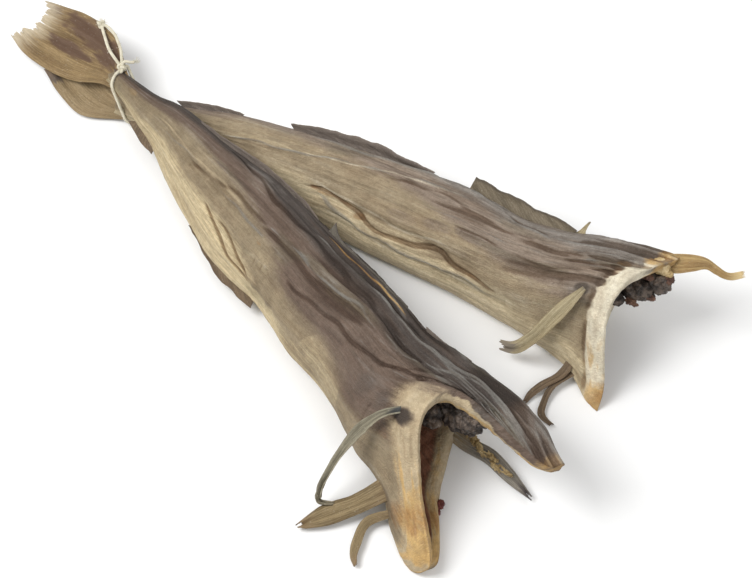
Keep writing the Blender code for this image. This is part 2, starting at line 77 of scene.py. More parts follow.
# Each fish has its own frame: x to the head, y to the back, z to its right flank.
# A row of the outline is x, back, belly, half thickness.
# A row of a rim is one point on the right, from the nape over the side to the throat.
# A fold is angle, start, end, depth, width, with the angles in degrees from the back.
# A line is its height, its width in degrees, then x and angle along it.
# A crease is x, angle, half its length in degrees, height: a short wrinkle round the body.
# A tone row is x, then the angles where dark back, brown flank and pale belly end or begin.
# A spot is x, angle, length, width in degrees, strength.
# A gold or cream line is its width in degrees, then x and angle along it.
NEAR = {
    "waist": (-211.5, 211.4, 31.0),
    "turn": (33.0, -1.56, -53.49),
    "outline": (
        (-14, 5, -12, 2.2), (0, 5, -11, 6), (13, 7, -12, 8), (34, 11, -15, 9), (68, 21, -20, 11),
        (107, 27, -31, 15), (158, 36, -40, 21), (207, 40, -44, 24), (247, 42, -42, 26),
        (294, 45, -46, 29), (336, 47, -45, 31), (376, 47, -52, 34), (396, 50, -57, 36),
        (416, 53, -58, 38), (436, 58, -64, 40), (463, 62, -77, 40), (488, 61, -84, 38),
        (523, 54, -76, 36),
    ),
    "collar_start": 360.0,
    "rim": (
        (524, 54, 0), (521, 46, 9), (499, 43, 15), (463, 42, 20), (435, 37, 32), (431, 18, 39),
        (438, 0, 39), (452, -18, 32), (471, -39, 22), (506, -68, 10), (497, -84, 2),
    ),
    "inner_rim": (
        (512, 38, 0), (508, 36, 6), (487, 34, 10), (456, 30, 14), (433, 24, 23), (427, 10, 30),
        (433, -5, 30), (446, -21, 24), (465, -41, 15), (492, -61, 6), (488, -71, 0),
    ),
    "left_setback": 10.0,
    "cavity_end": (322.0, -2.0),
    "band": 27.0,
    "column": 0.4,
    "plate": 40.0,
    "plate_from": 80.0,
    "plate_soft": 22.0,
    "nape_gold": 0.0,
    "gather": 48.0,
    "folds": (
        (24, 190, 430, 3.2, 8), (50, 120, 235, 2.6, 9), (46, 260, 415, 2.2, 7),
        (66, 240, 400, 2.4, 8), (92, 60, 380, 1.2, 9), (118, 160, 360, 1.8, 12),
        (150, 60, 300, 3.0, 14), (-30, 150, 420, 2.6, 9), (-62, 120, 400, 2.4, 10),
        (-95, 60, 380, 1.5, 9), (-135, 80, 330, 3.0, 14),
    ),
    "seed": 3,
    "lines": (
        (-1.7, 4.5, ((133, 14), (168, 33), (201, 42), (238, 39), (295, 42), (338, 51), (385, 48))),
        (-1.0, 6.0, ((118, 90), (149, 81), (181, 75), (225, 72), (255, 74))),
        (0.9, 4.0, ((66, 100), (100, 86), (157, 83), (202, 88), (240, 91))),
        (1.3, 4.0, ((214, 77), (262, 69), (294, 69), (332, 63), (378, 57))),
        (-1.5, 4.0, ((262, 98), (303, 96), (334, 94), (376, 80), (400, 72))),
        (-2.2, 3.2, ((158, 115), (196, 129), (228, 139))),
        (-1.9, 2.8, ((178, 113), (206, 123), (230, 133))),
        (1.1, 3.5, ((250, 30), (300, 32), (350, 36), (420, 30), (500, 14))),
        (-1.1, 3.5, ((330, 22), (400, 20), (450, 22), (505, 20))),
        (-1.0, 3.5, ((370, 84), (400, 62), (424, 46))),
        (0.9, 3.0, ((360, 70), (396, 52), (424, 36), (470, 26))),
    ),
    "creases": (
        (228, 110, 9, -0.9), (232, 112, 12, 0.8), (237, 108, 12, -1.0), (241, 110, 11, 0.7),
        (246, 106, 9, -0.8), (252, 138, 14, -0.7), (259, 146, 15, 0.6), (266, 140, 12, -0.6),
        (392, 118, 16, -0.6), (300, 150, 12, -0.5),
    ),
    "tones": (
        (0, 45, 78, 128), (60, 38, 66, 120), (120, 33, 60, 118), (200, 42, 78, 122),
        (260, 50, 104, 146), (320, 54, 118, 164), (370, 60, 128, 178), (430, 62, 128, 186),
        (530, 64, 130, 190),
    ),
    "pale_spots": (
        (344, 122, 22, 16, 0.42), (160, 130, 66, 23, 0.85), (90, 126, 44, 24, 0.75),
        (300, 158, 30, 14, 0.4), (233, 108, 16, 14, 0.3), (464, 8, 13, 5, 0.5), (516, 10, 8, 8, 0.5),
    ),
    "dark_spots": (
        (378, 104, 12, 13, 0.9), (398, 104, 9, 12, 0.9), (150, 60, 30, 9, 0.6), (360, 84, 26, 12, 0.6),
        (250, 86, 40, 8, 0.4), (330, 96, 30, 9, 0.4),
    ),
    "rust_spots": (
        (458, 158, 12, 8, 0.5), (474, 152, 12, 6, 0.5), (500, 178, 7, 6, 0.3),
        (222, 96, 4, 3, 0.4), (412, 128, 8, 10, 0.3),
    ),
    "gold_spots": (
        (24, 74, 7, 20, 0.35), (14, 50, 16, 60, 0.22), (497, 158, 14, 9, 0.75), (474, 150, 20, 11, 0.6),
        (520, 0, 12, 24, 0.6),
    ),
    "gold_lines": ((1.2, ((256, 15), (300, 13), (350, 13))),),
    "cream_lines": (
        (2.2, ((200, 118), (224, 128), (244, 132))),
        (3.0, ((60, 84), (130, 80), (190, 78))),
    ),
    "sharp_spots": ((334, 142, 30, 40, 0.42),),
    # Painted shade in the hollow at the root of the side fin.
    "pit_shade_spots": ((420, 107, 13, 8, 0.75),),
}
FAR = {
    "waist": (-196.1, 189.6, 11.9),
    "turn": (36.0, -3.47, -29.82),
    "outline": (
        (-24, 6, -10, 2.2), (-12, 9, -10, 5), (0, 10, -10, 6.2), (15, 12, -14, 8),
        (36, 18, -16, 9), (86, 28, -20, 13), (140, 37, -26, 19), (185, 41, -29, 23),
        (249, 44, -34, 27), (296, 44, -35, 29), (351, 42, -40, 32), (388, 47, -44, 35),
        (418, 54, -51, 38), (447, 60, -72, 40), (471, 62, -78, 39), (500, 59, -80, 37),
    ),
    "collar_start": 372.0,
    "rim": (
        (471, 60, 0), (469, 56, 8), (464, 51, 15), (458, 44, 25), (449, 32, 34), (444, 15, 38),
        (443, -3, 37), (446, -20, 30), (450, -38, 19), (456, -58, 10), (456, -76, 3),
    ),
    "inner_rim": (
        (458, 43, 0), (456, 41, 6), (452, 37, 11), (448, 31, 17), (442, 22, 25), (438, 11, 30),
        (438, -4, 29), (441, -20, 22), (445, -37, 13), (449, -53, 6), (448, -64, 0),
    ),
    "left_setback": 16.0,
    "cavity_end": (338.0, 2.0),
    "band": 18.0,
    "column": 1.0,
    "plate": 18.0,
    "plate_from": 56.0,
    "plate_soft": 4.0,
    "nape_gold": 0.9,
    "gather": 60.0,
    "folds": (
        (26, 180, 430, 2.6, 8), (48, 110, 300, 2.2, 8), (64, 230, 420, 2.4, 8),
        (88, 60, 400, 1.4, 9), (114, 178, 330, 3.4, 7), (134, 190, 360, 1.6, 8),
        (-32, 150, 420, 2.6, 9), (-64, 120, 400, 2.4, 10), (-96, 60, 380, 1.5, 9),
        (-130, 100, 330, 2.6, 13),
    ),
    "seed": 8,
    "lines": (
        (1.0, 3.5, ((80, 78), (127, 72), (155, 66), (206, 50), (250, 39), (300, 26))),
        (1.2, 4.0, ((150, 20), (206, 15), (250, 10), (303, 8), (386, 46), (424, 66))),
        (-1.2, 5.0, ((230, 46), (276, 41), (315, 48), (352, 52), (400, 62))),
        (-2.6, 3.6, ((176, 104), (207, 111), (228, 117), (258, 120), (298, 115), (346, 124))),
        (1.2, 5.0, ((180, 112), (225, 129), (264, 132), (301, 128), (345, 132))),
        (-0.9, 4.0, ((300, 74), (340, 78), (380, 76), (420, 78))),
        (-1.0, 4.0, ((330, 20), (380, 30), (430, 26), (462, 18))),
    ),
    "creases": (
        (182, 104, 7, -0.9), (189, 108, 8, 0.6), (236, 116, 8, -0.6), (360, 128, 12, -0.5),
        (398, 96, 18, -0.6), (404, 120, 14, -0.6),
    ),
    "tones": (
        (0, 10, 40, 124), (60, 4, 34, 116), (150, 8, 34, 104), (250, 12, 56, 118),
        (320, 30, 84, 122), (380, 44, 98, 134), (430, 62, 104, 146), (520, 64, 110, 150),
    ),
    "pale_spots": (
        (262, 130, 80, 9, 0.9), (200, 122, 40, 10, 0.7), (120, 66, 60, 9, 0.4), (250, 16, 60, 8, 0.5),
        (340, 128, 40, 9, 0.6),
    ),
    "dark_spots": (
        (316, 80, 20, 10, 0.7), (350, 84, 26, 11, 0.6), (289, 86, 16, 9, 0.5), (256, 94, 14, 9, 0.4),
        (380, 60, 26, 10, 0.5), (412, 92, 10, 9, 0.8), (300, 44, 50, 7, 0.4), (426, 84, 7, 9, 0.9),
    ),
    "rust_spots": (
        (176, 105, 6, 4, 0.7), (196, 109, 22, 3, 0.5), (222, 116, 6, 4, 0.6), (457, 164, 12, 12, 0.6),
        (452, 176, 10, 14, 0.5), (330, 122, 12, 4, 0.45), (160, 128, 20, 10, 0.35), (436, 66, 6, 6, 0.5),
    ),
    "gold_spots": (
        (452, 172, 14, 18, 0.9), (464, 14, 9, 22, 0.7), (457, 38, 10, 12, 0.75), (438, 56, 8, 5, 0.4),
    ),
    "gold_lines": (),
    "cream_lines": (
        (2.0, ((80, 78), (127, 72), (155, 66), (206, 50), (250, 39), (300, 26))),
        (3.0, ((170, 96), (215, 104), (262, 108), (300, 104))),
        (3.4, ((190, 126), (230, 134), (300, 134), (350, 136))),
    ),
    "sharp_spots": (),
    # Painted shade in the hollow at the root of the side fin.
    "pit_shade_spots": ((416, 92, 7, 7, 0.8), (424, 104, 9, 5, 0.45)),
}

# A fin is two edges, from the first row of points to the last, and how it is pleated.
# An end profile is how far each part of the last row reaches.
# The rays of a fan run along its edges, and those of a crest from edge a to edge b.
# A width is the share of the way between its edges that a fin takes, at its root and further out.
# A blot is a dark patch, but at the root of a side fin it is painted shade; each is its place along the
# rays and over them, then its length and width, as shares of the fin.
NEAR_FINS = {
    "tail": dict(
        kind="fan", look="khaki", rays=30,
        a=((12, 4, 1), (2, 7, 1), (-8, 12, 2), (-20, 18, 3), (-42, 19, 3), (-68, 14, 3), (-90, 5, 1),
           (-112, -5, 0)),
        b=((12, -9, 0), (-10, -16, 0), (-32, -31, 0), (-52, -40, 1), (-71, -45, 3), (-92, -48, 4),
           (-114, -46, 5)),
        pleats=9, lift=1.5, end=(1.0, 0.95, 0.92, 0.91, 0.92, 0.96, 0.99, 1.0),
        blots_and_root_shade=((0.5, 0.2, 0.28, 0.18), (0.62, 0.56, 0.24, 0.09), (0.3, 0.3, 0.12, 0.3),
               (0.98, 0.1, 0.1, 0.1))),
    "back_middle": dict(
        kind="crest", look="spike", rays=26,
        a=((249, 36, 2), (262, 38, 2), (290, 40, 2), (318, 42, 2), (345, 42, 2)),
        b=((251, 54, 6), (258, 47, 5), (283, 46, 4), (312, 47, 4), (345, 48, 3)),
        pleats=2, lift=0.8, end=(1.0, 1.0)),
    "back_rear": dict(
        kind="crest", look="dusky", rays=34,
        a=((100, 20, 1), (135, 27, 1), (165, 32, 1), (204, 35, 1), (232, 36, 1)),
        b=((90, 27, 3), (132, 34, 3), (162, 40, 3), (204, 45, 3), (236, 43, 2)),
        pleats=2, lift=0.8, end=(1.0, 1.0)),
    "back_front": dict(
        kind="crest", look="dusky", rays=12,
        a=((372, 43, -1), (392, 46, -1), (412, 49, -1)),
        b=((366, 48, 1), (390, 51, 1), (414, 55, 0)),
        pleats=1, lift=0.5, end=(1.0, 1.0)),
    "belly_front": dict(
        kind="crest", look="brown", rays=22,
        a=((238, -38, 0), (215, -37, 0), (190, -36, 0), (165, -33, 0)),
        b=((242, -46, 1), (212, -50, 2), (185, -48, 2), (146, -40, 3)),
        pleats=2, lift=0.7, end=(1.0, 1.0)),
    "belly_rear": dict(
        kind="crest", look="brown", rays=10,
        a=((72, -16, 0), (58, -14, 0), (46, -12, 0)),
        b=((74, -25, 0), (56, -24, 1), (34, -21, 1)),
        pleats=1, lift=0.4, end=(1.0, 1.0)),
    "side": dict(
        kind="fan", look="slate", rays=9,
        a=((418, 14, 28), (405, -13, 42), (398, -37, 40), (400, -56, 38), (403, -75, 35), (407, -90, 31),
           (411, -99, 26), (420, -93, 18)),
        b=((426, 2, 28), (413, -16, 41), (409, -37, 39), (408, -56, 38), (409, -75, 35), (411, -88, 31),
           (413, -95, 26), (419, -90, 18)),
        # The blot at its root is painted shade.
        width=(0.4, 0.8), pleats=2, lift=1.5, end=(1.0, 1.0), blots_and_root_shade=((0.06, 0.5, 0.1, 0.6),)),
    "throat_long": dict(
        kind="fan", look="olive", rays=10,
        a=((428, -50, 4), (422, -80, 12), (415, -98, 21), (416, -121, 34)),
        b=((446, -56, 4), (437, -86, 14), (431, -104, 23), (418, -123, 34)),
        pleats=3, lift=1.0, end=(1.0, 0.93, 1.0, 0.92)),
    "throat_short": dict(
        kind="fan", look="olive", rays=6,
        a=((450, -62, 3), (442, -84, 10), (450, -98, 18), (461, -108, 22), (469, -110, 23)),
        b=((458, -66, 3), (450, -85, 11), (458, -96, 18), (465, -104, 22), (470, -107, 23)),
        width=(0.7, 1.0), pleats=1, lift=0.6, end=(1.0, 1.0)),
    "far_side": dict(
        kind="fan", look="silver", rays=8,
        a=((424, 8, -33), (441, 10, -41), (458, 14, -47), (479, 13, -50), (502, 9, -53)),
        b=((422, -8, -33), (438, -6, -41), (456, 0, -47), (479, 2, -50), (504, 7, -53)),
        width=(0.7, 0.9), pleats=2, lift=0.9, end=(1.0, 0.94, 1.0)),
}
FAR_FINS = {
    "tail": dict(
        kind="fan", look="umber", rays=26,
        a=((-6, 6, 0), (-22, 10, -3), (-46, 26, -17), (-75, 36, -25), (-106, 40, -28)),
        b=((-6, -9, 0), (-20, -14, 1), (-45, -21, 8), (-74, -12, 4), (-100, 2, -3)),
        pleats=7, lift=1.5, end=(1.0, 0.96, 1.0, 0.88, 0.9, 0.97, 1.0),
        blots_and_root_shade=((0.9, 0.9, 0.1, 0.12),)),
    "back_front": dict(
        kind="crest", look="dun", rays=24,
        a=((292, 38, 2), (315, 39, 2), (345, 38, 2), (382, 39, 2)),
        b=((296, 58, 7), (310, 56, 6), (342, 54, 5), (388, 49, 3)),
        pleats=2, lift=0.8, end=(1.0, 1.0)),
    "back_middle": dict(
        kind="crest", look="dusky", rays=34,
        a=((140, 32, 1), (170, 35, 1), (205, 38, 1), (256, 39, 1)),
        b=((130, 40, 3), (166, 48, 4), (205, 52, 4), (262, 49, 2)),
        pleats=3, lift=0.9, end=(1.0, 1.0)),
    "back_rear": dict(
        kind="crest", look="dusky", rays=18,
        a=((42, 14, 0), (60, 18, 0), (84, 23, 0)),
        b=((28, 21, 2), (58, 29, 2), (90, 33, 1)),
        pleats=2, lift=0.6, end=(1.0, 1.0)),
    "spine": dict(
        kind="fan", look="straw", rays=3,
        a=((383, 44, 0), (388, 51, 1), (393, 58, 3)),
        b=((396, 45, 0), (395, 52, 1), (395, 58, 3)),
        width=(0.8, 0.5), pleats=0, lift=0.0, end=(1.0, 1.0)),
    "belly": dict(
        kind="crest", look="brown", rays=18,
        a=((170, -22, 0), (145, -20, 0), (118, -17, 0)),
        b=((172, -32, 1), (140, -31, 2), (104, -25, 2)),
        pleats=1, lift=0.5, end=(1.0, 1.0)),
    "side": dict(
        kind="fan", look="straw", rays=9,
        a=((416, 25, 30), (409, 2, 41), (399, -18, 37), (388, -38, 27), (377, -50, 21), (365, -53, 17)),
        b=((427, 15, 30), (420, -3, 41), (409, -23, 36), (396, -44, 26), (382, -58, 19), (367, -60, 15)),
        width=(0.12, 1.0), pleats=2, lift=1.4, end=(1.0, 0.95, 1.0),
        # The blot at its root is painted shade.
        blots_and_root_shade=((1.0, 0.5, 0.12, 0.6), (0.0, 0.5, 0.12, 0.8))),
    "throat_long": dict(
        kind="fan", look="brown", rays=7,
        a=((418, -38, 6), (416, -58, 8), (406, -73, 15), (403, -81, 18), (404, -91, 24)),
        b=((430, -42, 6), (425, -59, 9), (413, -76, 16), (409, -83, 19), (406, -92, 24)),
        width=(0.6, 0.8), pleats=2, lift=0.7, end=(1.0, 0.94, 1.0)),
    "throat_short": dict(
        kind="fan", look="brown", rays=6,
        a=((430, -44, 0), (421, -60, 6), (415, -71, 12), (415, -82, 17), (419, -94, 25), (433, -98, 26)),
        b=((438, -48, 0), (427, -60, 7), (421, -70, 13), (421, -81, 18), (425, -91, 24), (435, -95, 26)),
        width=(0.6, 0.85), pleats=1, lift=0.5, end=(1.0, 1.0)),
    "nape_wisp": dict(
        kind="fan", look="amber", rays=5,
        a=((456, 56, 4), (468, 61, 3), (480, 65, 2), (490, 66, 2), (498, 64, 1), (508, 62, 1),
           (520, 68, 1)),
        b=((454, 44, 4), (471, 46, 3), (484, 53, 2), (493, 58, 2), (500, 57, 1), (511, 57, 1),
           (523, 64, 1)),
        pleats=0, lift=0.0, end=(1.0, 1.0)),
}
# A lump is its middle and its size each way.
NEAR_LUMPS = (((428, 22, -4), (26, 16, 17)), ((446, 27, 6), (16, 11, 11)), ((420, 6, 10), (15, 11, 10)))
FAR_LUMPS = (((445, 25, 4), (18, 11, 14)), ((460, 35, 1), (13, 10, 10)), ((434, 11, 11), (11, 7, 9)))
FAR_KNOB = (((459, 47, 8), (9, 6, 6)), ((451, 44, 14), (7, 4, 4)), ((466, 44, 6), (6, 4, 4)))
FAR_FRINGE = (
    ((469, 40, 5), (5, 4, 3)), ((461, 22, 6), (5, 3, 3)), ((449, 13, 9), (6, 3, 3)),
    ((455, 36, 12), (6, 3, 3)),
)
NEAR_CRUST = (
    ((433, 10, -38), (8, 5, 3.4)), ((441, 8, -41), (9, 3.6, 3)), ((450, 5, -43), (7, 2.2, 2)),
    ((459, 8, -46), (8, 2.4, 2)), ((466, 5, -47), (7, 2.8, 2.2)), ((475, 8, -49), (8, 2, 1.8)),
)
NEAR_FLESH_BIT = (((466, -41, -19), (4, 5, 2.5)), ((470, -45, -18), (2.5, 3, 2)))
# A small piece is its name, its fish, its lumps, how crumpled it is, its crumbs' size and its matter.
SMALL_PIECES = (
    ("far_nape_bone", FAR, FAR_KNOB, 0.3, 5.0, "bare_bone"),
    ("far_fringe", FAR, FAR_FRINGE, 0.5, 3.0, "brown_meat"),
    ("near_crust", NEAR, NEAR_CRUST, 0.85, 2.2, "yellow_crust"),
    ("near_flesh_bit", NEAR, NEAR_FLESH_BIT, 0.4, 3.0, "dark_meat"),
)

# The string, in the frame of the near fish.
STRING_RADIUS = 1.5
STRING_GAP = 0.3
WRAP_CENTRE = (13.0, -8.0, -9.0)
WRAP_AXIS = (19.5, 8.0, 13.6)
WRAP_REACH = 40.0
KNOT_SPOT = (-4, 8, 9)
STRAND = ((-12, 9, 10), (-21, 10, 9), (-33, 14, 8), (-46, 19, 7))
SLACK = ((-46, 19, 7), (-42, 21, 5), (-33, 21, 4), (-23, 19, 4), (-14, 16, 5), (-8, 14, 8))
LOOSE_END = ((-2, 13, 8), (1, 15, 5), (3, 18, 3))
PLIES = 3
PLY_PITCH = 4.6
PLY_REACH = 0.45
PATH_STEP = 0.8
FIBRE_RADIUS = 0.13

# Colours are linear red, green and blue.
NEAR_HIDE = {
    "beige": (0.325, 0.260, 0.165),
    "straw": (0.700, 0.585, 0.365),
    "plum": (0.150, 0.103, 0.082),
    "dusk": (0.068, 0.056, 0.049),
    "bone": (0.560, 0.455, 0.295),
    "flesh": (0.310, 0.145, 0.085),
}
FAR_HIDE = {
    "beige": (0.410, 0.330, 0.215),
    "straw": (0.720, 0.610, 0.400),
    "plum": (0.325, 0.262, 0.212),
    "dusk": (0.275, 0.250, 0.222),
    "bone": (0.900, 0.830, 0.650),
    "flesh": (0.200, 0.095, 0.055),
}
# Painted highlight: a pale slate grey laid on the ridges of the hide and on the nape flap.
RIDGE_HIGHLIGHT = (0.250, 0.245, 0.225)
MOSS = (0.165, 0.150, 0.090)
RUST = (0.330, 0.165, 0.052)
GOLD = (0.620, 0.390, 0.130)
# Near black: the darkest tone of the dried remains, and painted shade deep in the pits of the side fins.
NEAR_BLACK = (0.032, 0.025, 0.021)
COTTON = (0.740, 0.690, 0.540)
COTTON_DIRT = (0.42, 0.34, 0.22)
# How much of each colour its mask lets through, in the order in which they are laid on.
LAYERS = (
    ("straw", 0.9), ("plum", 0.88), ("dusk", 0.92), ("moss", 0.5), ("bone", 0.95), ("gold", 0.85),
    # The last layer is painted shade, near black, deep in the pits of the side fins.
    ("rust", 0.8), ("flesh", 1.0), ("deep_pit_shade", 0.4),
)
# Tints that darken what they lie over, but for bleach and dust, which lighten it.
TINTS = {
    "shade": (0.6, 0.53, 0.47),
    "bleach": (0.62, 0.60, 0.55),
    # Painted shade in the grooves, creases and side-fin pits.
    "groove_shade": (0.42, 0.34, 0.28),
    "hair": (0.55, 0.49, 0.43),
    "net": (0.5, 0.43, 0.37),
    "mottle": (0.66, 0.6, 0.55),
    "grit": (0.6, 0.52, 0.45),
    "web": (0.48, 0.42, 0.36),
    "dust": (0.7, 0.65, 0.55),
}
# Broken matter is its dark, middle and light tone, and how rough it is.
CRUMBS = {
    "dried_remains": (NEAR_BLACK, (0.118, 0.090, 0.072), (0.22, 0.17, 0.125), 0.5),
    "bare_bone": ((0.45, 0.32, 0.15), (0.66, 0.52, 0.30), (0.78, 0.68, 0.48), 0.5),
    "yellow_crust": ((0.28, 0.19, 0.08), (0.50, 0.37, 0.18), (0.72, 0.62, 0.40), 0.5),
    "dark_meat": ((0.10, 0.022, 0.018), (0.19, 0.055, 0.04), (0.30, 0.13, 0.09), 0.45),
    "brown_meat": ((0.08, 0.038, 0.027), (0.17, 0.09, 0.06), (0.27, 0.17, 0.11), 0.5),
}

# Colours of a fin: at its root, of its skin and of its rays, then at its tip and of its dark patches,
# which at the root of a side fin are painted shade.
LOOKS = {
    "khaki": (
        (0.17, 0.115, 0.06), (0.20, 0.13, 0.058), (0.36, 0.255, 0.12),
        (0.55, 0.47, 0.34), (0.10, 0.055, 0.035),
    ),
    "umber": (
        (0.22, 0.16, 0.085), (0.26, 0.185, 0.095), (0.38, 0.29, 0.165),
        (0.15, 0.10, 0.06), (0.08, 0.06, 0.05),
    ),
    "dusky": (
        (0.16, 0.13, 0.11), (0.115, 0.093, 0.08), (0.20, 0.165, 0.135),
        (0.17, 0.135, 0.11), (0.05, 0.04, 0.035),
    ),
    "dun": (
        (0.20, 0.165, 0.115), (0.165, 0.135, 0.09), (0.26, 0.215, 0.15),
        (0.10, 0.08, 0.06), (0.06, 0.05, 0.04),
    ),
    "spike": (
        (0.46, 0.33, 0.14), (0.12, 0.105, 0.085), (0.19, 0.17, 0.135),
        (0.10, 0.085, 0.07), (0.05, 0.04, 0.035),
    ),
    "brown": (
        (0.17, 0.12, 0.07), (0.13, 0.09, 0.055), (0.26, 0.185, 0.11),
        (0.12, 0.08, 0.05), (0.06, 0.04, 0.03),
    ),
    "slate": (
        (0.10, 0.10, 0.09), (0.20, 0.18, 0.125), (0.40, 0.37, 0.27),
        (0.26, 0.22, 0.15), (0.045, 0.05, 0.055),
    ),
    "olive": (
        (0.22, 0.15, 0.08), (0.17, 0.12, 0.055), (0.40, 0.31, 0.17),
        (0.24, 0.16, 0.085), (0.07, 0.045, 0.03),
    ),
    "silver": (
        (0.40, 0.28, 0.12), (0.20, 0.18, 0.15), (0.40, 0.37, 0.31),
        (0.045, 0.03, 0.034), (0.06, 0.05, 0.05),
    ),
    "straw": (
        (0.26, 0.21, 0.13), (0.40, 0.33, 0.19), (0.60, 0.52, 0.34),
        (0.24, 0.20, 0.15), (0.20, 0.17, 0.14),
    ),
    "amber": (
        (0.24, 0.18, 0.09), (0.34, 0.215, 0.085), (0.58, 0.42, 0.19),
        (0.72, 0.56, 0.30), (0.26, 0.12, 0.04),
    ),
}

# The stage, in metres and degrees. A lamp is its place, its size and its power.
CAMERA_TARGET = (0.01595, -0.03180, 0.030)
CAMERA_RISE = 56.0
CAMERA_REACH = 1.85
CAMERA_LENS = 113.54
CAMERA_SENSOR = 36.0
LAMPS = (
    ((-1.0, -0.2, 1.5), 0.9, 28.0),
    ((1.1, -1.0, 1.4), 1.4, 8.0),
    ((0.3, 1.4, 1.3), 1.4, 8.0),
)
SKY_LIGHT = 0.5
FLOOR_SIZE = 8.0
FLOOR_TONES = ((0.86, 0.86, 0.855), (0.88, 0.88, 0.875))


def smooth(knots, values, at):
    """Cubic curve through the values, with slopes taken from the neighbours."""
    knots = np.asarray(knots, float)
    values = np.asarray(values, float)
    slopes = np.gradient(values, knots, axis=0)
    left = np.clip(np.searchsorted(knots, at) - 1, 0, len(knots) - 2)
    span = knots[left + 1] - knots[left]
    t = np.clip((at - knots[left]) / span, 0.0, 1.0)
    if values.ndim > 1:
        t = t[..., None]
        span = span[..., None]
    start = values[left] * (2 * t**3 - 3 * t**2 + 1) + slopes[left] * span * (t**3 - 2 * t**2 + t)
    stop = values[left + 1] * (3 * t**2 - 2 * t**3) + slopes[left + 1] * span * (t**3 - t**2)
    return start + stop


def curve(points, at):
    """Points of a smooth curve, where 0 is its first point and 1 is its last."""
    points = np.asarray(points, float)
    steps = np.linalg.norm(np.diff(points, axis=0), axis=1)
    knots = np.concatenate([[0.0], np.cumsum(steps)])
    return smooth(knots / knots[-1], points, np.asarray(at, float))


def step(low, high, value):
    """Zero below low, one above high, and soft between."""
    t = np.clip((value - low) / (high - low), 0, 1)
    return t * t * (3 - 2 * t)


def closed_rim(right, setback, angles):
    """Points of a whole rim at the angles, from the points of its right half."""
    right = np.asarray(right, float)
    left = right[-2:0:-1] * (1, 1, -0.96)
    weight = np.sin(math.pi * np.linspace(1, 0, len(right)) ** 1.6)[1:-1]
    left[:, 0] -= setback * weight
    ring = np.concatenate([right, left])
    padded = np.concatenate([ring[-3:], ring, ring[:4]])
    knots = np.arange(-3, len(ring) + 4) * (360.0 / len(ring))
    return smooth(knots, padded, np.mod(angles, 360.0))


def window(x, start, end, soft=28.0):
    """One between start and end, falling softly to zero outside."""
    rise = np.clip((x - start) / soft + 0.5, 0, 1)
    fall = np.clip((end - x) / soft + 0.5, 0, 1)
    return rise * rise * (3 - 2 * rise) * fall * fall * (3 - 2 * fall)


def skin(fish, x, angles):
    """Points of the outer skin at x, before the collar spreads it."""
    rows = np.asarray(fish["outline"], float)
    back, belly, half = np.moveaxis(smooth(rows[:, 0], rows[:, 1:], x), -1, 0)
    turn = np.radians(angles)
    across = np.sin(turn)
    along = np.cos(turn)
    middle = belly + 0.55 * (back - belly)
    y = middle + np.where(along > 0, back - middle, middle - belly) * along
    sharp = np.where(along > 0, 0.95, 1.12)
    z = half * np.sign(across) * np.abs(across) ** sharp
    sink = 0.9 * np.sin(x / 31 + 3 * turn + fish["seed"]) + 0.6 * np.sin(x / 17 - 2 * turn)
    sink *= window(x, 40, 440)
    signed = np.mod(angles + 180, 360) - 180
    for angle, start, end, depth, width in fish["folds"]:
        drift = angle + 3 * np.sin(x / 60 + angle)
        sink += depth * np.exp(-(((signed - drift) / width) ** 2)) * window(x, start, end)
    reach = np.maximum(np.hypot(y - middle, z), 4.0)
    keep = 1 - sink / reach
    return np.stack([x, middle + (y - middle) * keep, z * keep], axis=-1)


def collar(fish, t, angles):
    """Points between the start of the collar and its rim."""
    rim = closed_rim(fish["rim"], fish["left_setback"], angles)
    x = fish["collar_start"] + (rim[..., 0] - fish["collar_start"]) * t
    spread = rim - skin(fish, rim[..., 0], angles)
    points = skin(fish, x, angles) + spread * (t**2)[..., None]
    before = rim[..., 0] - x
    side = np.clip(np.abs(np.sin(np.radians(angles))) * 1.4 - 0.35, 0, 1)
    crease = 3.4 * np.exp(-(((before - fish["band"]) / 5.0) ** 2)) * side
    points[..., 2] -= crease * np.sign(points[..., 2])
    return points


def cavity(fish, s, angles):
    """Points from the inner rim, at 0, to the closed end of the hollow, at 1."""
    rim = closed_rim(fish["inner_rim"], fish["left_setback"], angles)
    end_x, end_y = fish["cavity_end"]
    x = rim[..., 0] + (end_x - rim[..., 0]) * s
    wall = skin(fish, x, angles)
    narrow = 0.66 * (1 - s) ** 0.45 + 0.02
    deep_y = end_y + (wall[..., 1] - end_y) * narrow
    deep_z = wall[..., 2] * narrow
    blend = np.clip(s * 2.4, 0, 1)
    blend = blend * blend * (3 - 2 * blend)
    y = rim[..., 1] * (1 - blend) + deep_y * blend
    z = rim[..., 2] * (1 - blend) + deep_z * blend
    return np.stack([x, y, z], axis=-1)


def cell_value(i, j, k, seed):
    """A fixed number from 0 to 1 for each whole cell."""
    mix = (i * 73856093) ^ (j * 19349663) ^ (k * 83492791) ^ (seed * 2654435761)
    mix = ((mix ^ (mix >> 13)) * 1274126177) & 0xFFFFFFFF
    mix = ((mix ^ (mix >> 15)) * 2246822519) & 0xFFFFFFFF
    return ((mix ^ (mix >> 16)) & 0xFFFF) / 65535.0


def grain(points, seed, octaves=1):
    """Soft random field from -1 to 1 over points in space, with finer and fainter octaves."""
    total = np.zeros(points.shape[:-1])
    weight = 0.0
    for octave in range(octaves):
        spot = points * 2.03**octave + 31.7 * octave
        cell = np.floor(spot).astype(np.int64)
        t = spot - cell
        t = t * t * (3 - 2 * t)
        value = 0.0
        for corner in range(8):
            a, b, c = corner & 1, (corner >> 1) & 1, (corner >> 2) & 1
            share = (t[..., 0] if a else 1 - t[..., 0]) * (t[..., 1] if b else 1 - t[..., 1])
            share = share * (t[..., 2] if c else 1 - t[..., 2])
            at = cell + (a, b, c)
            value += share * cell_value(at[..., 0], at[..., 1], at[..., 2], seed + octave)
        total += (value * 2 - 1) * 0.55**octave
        weight += 0.55**octave
    return total / weight


